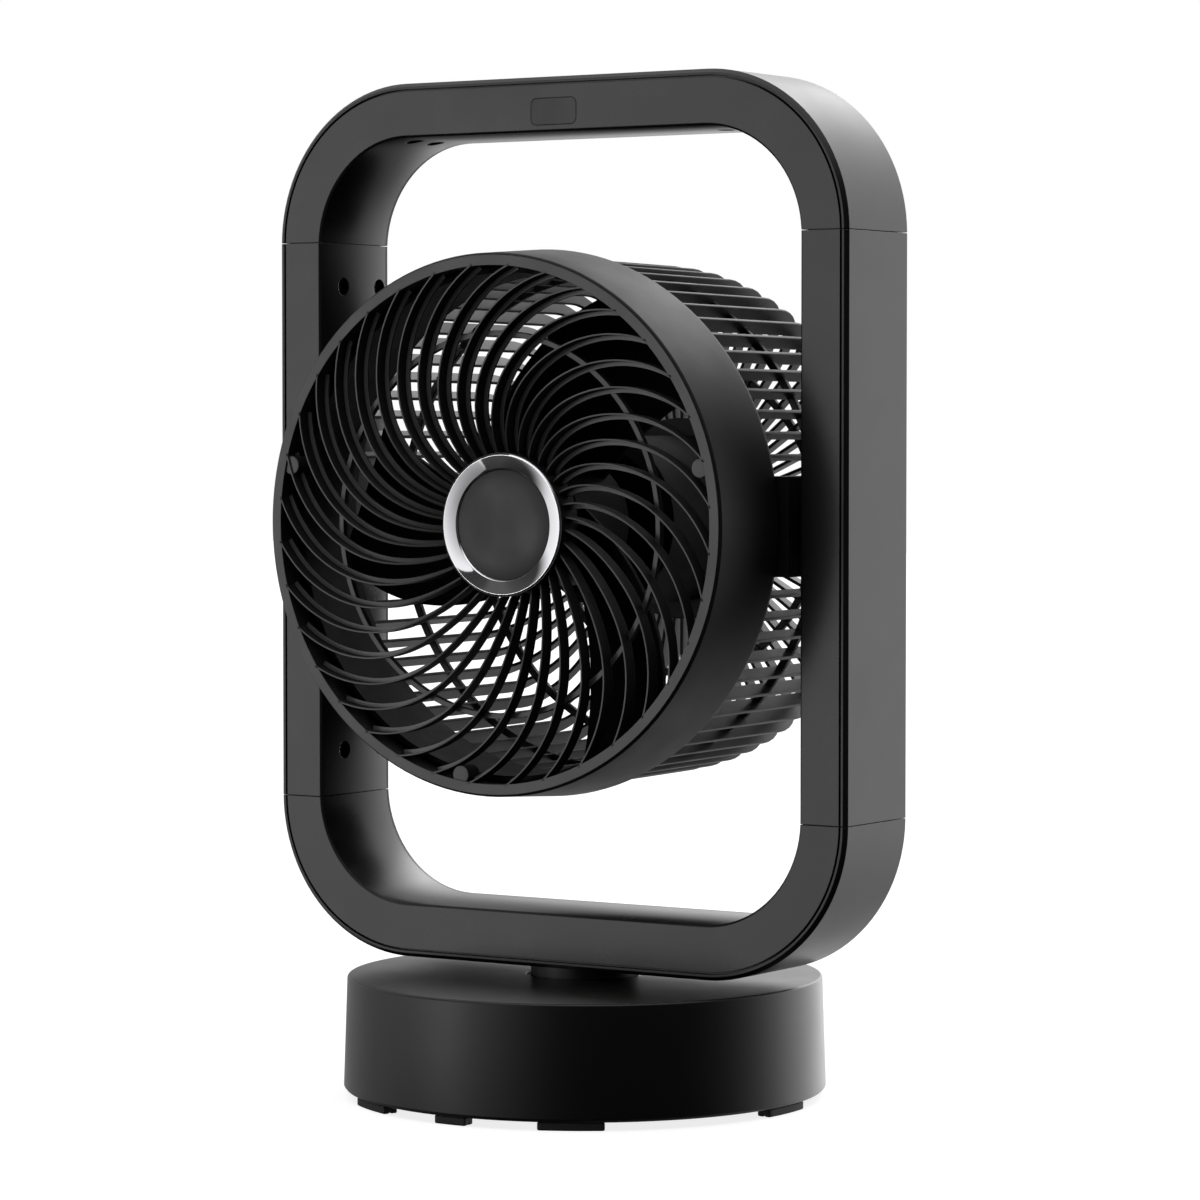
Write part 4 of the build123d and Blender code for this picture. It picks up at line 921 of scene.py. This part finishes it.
# %% One fin of the basket
FIN_COUNT = 72
FIN_THICK = 0.0013
FIN_DEPTH = 0.0060
BASKET_R = 0.1010
BASKET_TAPER = 0.0010
CORNER_R = 0.0250
BASKET_REAR_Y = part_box("rear_grille")[1].y
FLANGE_FRONT_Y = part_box("basket_wall")[0].y
FLANGE_BACK_Y = FLANGE_FRONT_Y + 0.0021
FLANGE_IN_R, FLANGE_OUT_R = 0.0968, 0.1032
FLANGE_OVERLAP = 0.0005
DUCT_BACK_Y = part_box("air_duct")[1].y
DUCT_PLAY, NECK_STEP = 0.0003, 0.0002
PLATE_R = 0.0400
PLATE_OVERLAP = 0.002
PIVOT_LOW, PIVOT_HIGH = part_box("right_pivot_block")
corner_y = BASKET_REAR_Y - CORNER_R
corner_x = BASKET_R - BASKET_TAPER - CORNER_R


def bent_fin(name, start_y, start_in_r):
    """A fin along +X from a start behind the shroud to the rear plate, with a narrow neck beside the duct."""
    start_width = BASKET_R - start_in_r
    fin = primitive(name, bpy.ops.mesh.primitive_plane_add, (start_width, FIN_THICK, 1),
                    size=1, rotation=FACING_FRONT, location=(BASKET_R - start_width / 2, start_y, HEAD_Z))
    edit(fin, "SELECT")
    if start_width < FIN_DEPTH:
        neck_end = DUCT_BACK_Y + DUCT_PLAY
        extrude((0, neck_end - start_y, 0))
        extrude((0, NECK_STEP, 0))
        bpy.ops.transform.resize(value=(FIN_DEPTH / start_width, 1, 1), center_override=(BASKET_R, 0, HEAD_Z))
        start_y = neck_end + NECK_STEP
    extrude((-BASKET_TAPER, corner_y - start_y, 0))
    bpy.ops.mesh.spin(steps=10, angle=-math.pi / 2, center=(corner_x, corner_y, HEAD_Z), axis=(0, 0, 1))
    extrude((PLATE_R - PLATE_OVERLAP - corner_x, 0, 0))
    close_up(fin)
    return soften(fin, 0.0003, angle=60, smooth=20)


long_fin = bent_fin("long_fin", FLANGE_BACK_Y - FLANGE_OVERLAP, FLANGE_IN_R)
short_fin = bent_fin("short_fin", PIVOT_HIGH.y, BASKET_R - FIN_DEPTH)
print("fins:", len(long_fin.data.polygons), "and", len(short_fin.data.polygons), "faces")

# %% Fins, hoops and plate of the basket
HOOP_WIDTH, HOOP_DEPTH = 0.0030, 0.0025
SIDE_HOOP_IN_R, SIDE_HOOP_Y = BASKET_R - FIN_DEPTH - 0.0005, PIVOT_HIGH.y - 0.0020
CORNER_HOOP_IN_R, CORNER_HOOP_Y = corner_x + 0.014, corner_y + 0.009
REAR_HOOP_IN_R, REAR_HOOP_Y = 0.0605, BASKET_REAR_Y - 0.0055
PLATE_HOLE_R = 0.0050
PLATE_FRONT_Y, PLATE_BACK_Y = BASKET_REAR_Y - 0.0070, BASKET_REAR_Y - 0.0030

pivot_reach = (PIVOT_HIGH.z - PIVOT_LOW.z) / 2 + FIN_THICK
fins = []
for i in range(FIN_COUNT):
    turn = 360 / FIN_COUNT * i
    beside_pivot = abs(on_circle(BASKET_R, turn)[1]) < pivot_reach
    fins.append(copied(short_fin if beside_pivot else long_fin, f"fin_{i}", turn_about(HEAD_MIDDLE, turn)))
for pattern in (long_fin, short_fin):
    bpy.data.objects.remove(pattern)


def flat_hoop(name, inner_r, front_y, outer_r=None, back_y=None):
    """A ring with a rectangular section and soft edges, as wide and deep as a hoop unless told otherwise."""
    outer_r, back_y = outer_r or inner_r + HOOP_WIDTH, back_y or front_y + HOOP_DEPTH
    ring = lathe_ring(name, [(inner_r, front_y), (outer_r, front_y), (outer_r, back_y), (inner_r, back_y)])
    return soften(ring, 0.0004, smooth=20)


hoops = [
    flat_hoop("flange", FLANGE_IN_R, FLANGE_FRONT_Y, FLANGE_OUT_R, FLANGE_BACK_Y),
    flat_hoop("side_hoop", SIDE_HOOP_IN_R, SIDE_HOOP_Y),
    flat_hoop("corner_hoop", CORNER_HOOP_IN_R, CORNER_HOOP_Y),
    flat_hoop("rear_hoop", REAR_HOOP_IN_R, REAR_HOOP_Y),
    flat_hoop("plate", PLATE_HOLE_R, PLATE_FRONT_Y, PLATE_R, PLATE_BACK_Y)]
rear_basket = join(fins + hoops, "rear_basket")
finish_piece(rear_basket, "shell", "head", "basket_wall", "rear_grille", finish="shroud")

# %% [markdown]
# ## Screws
# Pan-head screws with a cross recess sit at the bottom of the sunk holes in the frame, under the base and
# in the rear plate. One is modelled: a cylinder whose rim is rounded, whose underside is inset and extruded
# into the shank, and whose top has a cross cut into it with Boolean modifiers. All others are copies of its
# mesh, each turned a little further, as real screws end up.

# %% One screw
SCREW_HEAD_R = 0.0028
SCREW_HEAD_HEIGHT = 0.0018
SCREW_SHANK_R = 0.0014
SCREW_LENGTH = 0.0065
SCREW_TAPER = 0.6
CROSS_LENGTH, CROSS_WIDTH, CROSS_DEPTH = 0.0030, 0.0007, 0.0010
CROSS_TAPER = 0.55


def cut_slot(piece, turn):
    """Cut one tapered arm pair of the cross into the screw's head."""
    cutter = primitive("slot_cutter", bpy.ops.mesh.primitive_cube_add,
                       (CROSS_LENGTH, CROSS_WIDTH, 2 * CROSS_DEPTH),
                       size=1, location=(0, 0, SCREW_HEAD_HEIGHT), rotation=(0, 0, turn))
    for point in cutter.data.vertices:
        if point.co.z < SCREW_HEAD_HEIGHT:
            point.co.x *= CROSS_TAPER
            point.co.y *= CROSS_TAPER
    cut_away(piece, cutter, 40)


screw = primitive("screw", bpy.ops.mesh.primitive_cylinder_add, vertices=32, radius=SCREW_HEAD_R,
                  depth=SCREW_HEAD_HEIGHT, location=(0, 0, SCREW_HEAD_HEIGHT / 2))
open_where(screw, lambda point: point.z < MERGE)
bpy.ops.mesh.inset(thickness=SCREW_HEAD_R - SCREW_SHANK_R)
extrude((0, 0, -SCREW_LENGTH))
bpy.ops.transform.resize(value=(SCREW_TAPER, SCREW_TAPER, 1), center_override=(0, 0, -SCREW_LENGTH))
close_up(screw)
soften(screw, 0.0006, 3, 60)
for turn in (0, math.pi / 2):
    cut_slot(screw, turn)
print("screw:", len(screw.data.polygons), "faces,", round(1000 * screw.dimensions.z, 1), "mm long")

# %% Screws in their places
SUNK_DEPTH = 0.0044
LEG_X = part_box("panel_right")[0].x
LEG_SCREW_YS = (-0.0074, 0.0166)
LEG_SCREW_RISE = 0.0920
TOP_BAR_UNDERSIDE = 0.3701
TOP_SCREWS = ((-0.0748, -0.0074), (-0.0748, 0.0067), (0.0594, 0.0070))
BASE_SCREW_LOW, BASE_SCREW_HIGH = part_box("base_screws")
SCREW_CIRCLE_R = (BASE_SCREW_HIGH.x - BASE_SCREW_LOW.x) / 2 - SCREW_HEAD_R
PLATE_SEAT_Z = BASE_SCREW_LOW.z + 0.0014
BASE_SCREW_ANGLES = range(0, 360, 60)
REAR_SCREW_CIRCLE_R = 0.026
REAR_SCREW_ANGLES = range(45, 405, 90)
TURN_STEP = 37


def set_screws(name, seats, body, replaced, finish=None):
    """Screws with their heads on their seats and their shanks along a direction, made one piece."""
    set_ones = []
    for number, (seat, inward) in enumerate(seats):
        upright = Vector((0, 0, -1)).rotation_difference(Vector(inward)).to_matrix().to_4x4()
        turned = Matrix.Rotation(math.radians(TURN_STEP * number), 4, "Z")
        set_ones.append(copied(screw, "one_screw", Matrix.Translation(seat) @ upright @ turned))
    finish_piece(join(set_ones, name), "steel", body, replaced, finish=finish)
    print(len(set_ones), "screws set")


frame_seats = [((side * (LEG_X + SUNK_DEPTH), y, HEAD_Z + rise), (side, 0, 0))
               for side in (-1, 1) for y in LEG_SCREW_YS for rise in (-LEG_SCREW_RISE, LEG_SCREW_RISE)]
frame_seats += [((x, y, TOP_BAR_UNDERSIDE + SUNK_DEPTH), (0, 0, 1)) for x, y in TOP_SCREWS]
base_seats = [((*on_circle(SCREW_CIRCLE_R, angle), PLATE_SEAT_Z), (0, 0, 1)) for angle in BASE_SCREW_ANGLES]
rear_seats = []
for angle in REAR_SCREW_ANGLES:
    x, rise = on_circle(REAR_SCREW_CIRCLE_R, angle)
    rear_seats.append(((x, PLATE_BACK_Y, HEAD_Z + rise), (0, -1, 0)))
set_screws("cross_screws_frame", frame_seats, "frame", "frame_screws", "black_steel")
set_screws("cross_screws_base", base_seats, "base", "base_screws")
set_screws("cross_screws_head", rear_seats, "head", "head_screws")
bpy.data.objects.remove(screw)

# %% [markdown]
# ## Rubber feet
# Six long curved pads and two short ones carry the base. Rubber pads have no sharp edges, and a shallow
# groove along the middle lets them grip. The section gets its groove by bisecting it beside its middle and
# lifting the middle of its lower edge, and is then spun about the upright axis.

# %% Feet
feet_low, feet_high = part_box("rubber_feet")
FOOT_OUT_R = 0.0917
FOOT_WIDTH = 0.0060
FOOT_GROOVE = 0.0005
GROOVE_CUTS, GROOVE_HALF_WIDTH = (-0.0008, -0.0004, 0.0004, 0.0008), 0.0005
LONG_FOOT, SHORT_FOOT = 0.0244, 0.0134
foot_middle_r = FOOT_OUT_R - FOOT_WIDTH / 2


def foot(name, middle_angle, length):
    """A curved pad with a groove under it, centred on a compass angle."""
    span = math.degrees(length / foot_middle_r)
    section = (FOOT_WIDTH, feet_high.z - feet_low.z, 1)
    middle = (foot_middle_r, 0, (feet_low.z + feet_high.z) / 2)
    pad = primitive(name, bpy.ops.mesh.primitive_plane_add, section,
                    size=1, rotation=FACING_FRONT, location=middle)
    edit(pad)
    for from_middle in GROOVE_CUTS:
        bpy.ops.mesh.select_all(action="SELECT")
        bpy.ops.mesh.bisect(plane_co=(foot_middle_r + from_middle, 0, 0), plane_no=(1, 0, 0))
    bpy.ops.object.mode_set(mode="OBJECT")
    for point in pad.data.vertices:
        in_groove = abs(point.co.x - foot_middle_r) < GROOVE_HALF_WIDTH
        if in_groove and point.co.z < feet_low.z + MERGE:
            point.co.z += FOOT_GROOVE
    edit(pad, "SELECT")
    bpy.ops.mesh.spin(steps=12, angle=-math.radians(span), center=(0, 0, 0), axis=(0, 0, 1))
    close_up(pad)
    soften(pad, 0.0006, 3, 60)
    pad.data.transform(Matrix.Rotation(math.radians(middle_angle - span / 2), 4, "Z"))
    return pad


pads = [foot(f"long_foot_{angle}", angle, LONG_FOOT) for angle in range(0, 360, 60)]
pads += [foot(f"short_foot_{angle}", angle, SHORT_FOOT) for angle in (90, 270)]
finish_piece(join(pads, "rubber_pads"), "foot_rubber", "base", "rubber_feet")
print("feet stand at", round(1000 * feet_low.z, 2), "mm")

# %% [markdown]
# ## The base's drum
# The drum is turned from its profile like the rings, with a slightly flared wall, softened rims and a sunk
# ring for the neck. A Boolean modifier cuts the window for the power inlet in its back, and hollow bosses
# for the screws stand inside it, with two shorter ones for the swivel motor.

# %% Drum
drum_low, drum_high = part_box("base_cover")
FLOOR_Z, DECK_Z = drum_low.z, drum_high.z
DRUM_FOOT_R = (drum_high.x - drum_low.x) / 2
DRUM_DECK_R = DRUM_FOOT_R - 0.0014
WALL = 0.0025
FOOT_RIM_REACH, FOOT_RIM_RISE = 0.0010, 0.0012
DECK_RIM = 0.0006
RECESS_R, RECESS_DEPTH = 0.0228, 0.0014
RECESS_WALL, RECESS_SLOPE = 0.003, 0.005
BUSH_SEAT_R = 0.0160
INLET_MIDDLE_Z, INLET_CUT = 0.0150, (0.0120, 0.016, 0.0110)
DECK_UNDERSIDE = DECK_Z - WALL

recess_floor, recess_underside = DECK_Z - RECESS_DEPTH, DECK_Z - WALL - RECESS_DEPTH
drum = lathe_ring("drum", [
    (DRUM_FOOT_R - FOOT_RIM_REACH, FLOOR_Z), (DRUM_FOOT_R, FLOOR_Z + FOOT_RIM_RISE),
    (DRUM_DECK_R, DECK_Z - DECK_RIM), (DRUM_DECK_R - DECK_RIM, DECK_Z), (RECESS_R, DECK_Z),
    (RECESS_R, recess_floor), (BUSH_SEAT_R, recess_floor), (BUSH_SEAT_R, recess_underside),
    (RECESS_R + RECESS_WALL, recess_underside), (RECESS_R + RECESS_SLOPE, DECK_UNDERSIDE),
    (DRUM_DECK_R - WALL, DECK_UNDERSIDE), (DRUM_FOOT_R - WALL, FLOOR_Z)], upright=True)
soften(drum, 0.0003, angle=20, smooth=12)
inlet_cutter = primitive("inlet_cutter", bpy.ops.mesh.primitive_cube_add, INLET_CUT,
                         size=1, location=(0, DRUM_FOOT_R, INLET_MIDDLE_Z))
cut_away(drum, inlet_cutter, 12)
print("drum:", len(drum.data.polygons), "faces")

# %% Bosses inside the drum
POST_R, POST_HOLE_R, MOTOR_POST_R = 0.0040, 0.0016, 0.0032
POST_OVERLAP = 0.0003
HOLE_SHARE = 0.8
PLATE_TOP_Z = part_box("base_plate")[0].z + 0.0025
MOTOR_TOP_Z = DECK_UNDERSIDE - 0.0025
MOTOR_POST_PLACES = ((-0.0210, 0.0380), (0.0210, 0.0380))


def hollow_boss(place, low_z, radius):
    """A cylinder up to the deck whose lower face is inset and extruded upwards into a blind hole."""
    height = DECK_UNDERSIDE + POST_OVERLAP - low_z
    post = primitive("screw_post", bpy.ops.mesh.primitive_cylinder_add, vertices=32, radius=radius,
                     depth=height, location=(*place, low_z + height / 2))
    open_where(post, lambda point: point.z < low_z + MERGE)
    bpy.ops.mesh.inset(thickness=radius - POST_HOLE_R)
    extrude((0, 0, HOLE_SHARE * height))
    close_up(post)
    return soften(post, 0.0003)


posts = [hollow_boss(on_circle(SCREW_CIRCLE_R, angle), PLATE_TOP_Z, POST_R) for angle in BASE_SCREW_ANGLES]
posts += [hollow_boss(place, MOTOR_TOP_Z, MOTOR_POST_R) for place in MOTOR_POST_PLACES]
base_drum = join([drum] + posts, "base_drum")
finish_piece(base_drum, "shell", "base", "base_cover")
print("base drum is", round(1000 * base_drum.dimensions.z, 1), "mm tall")
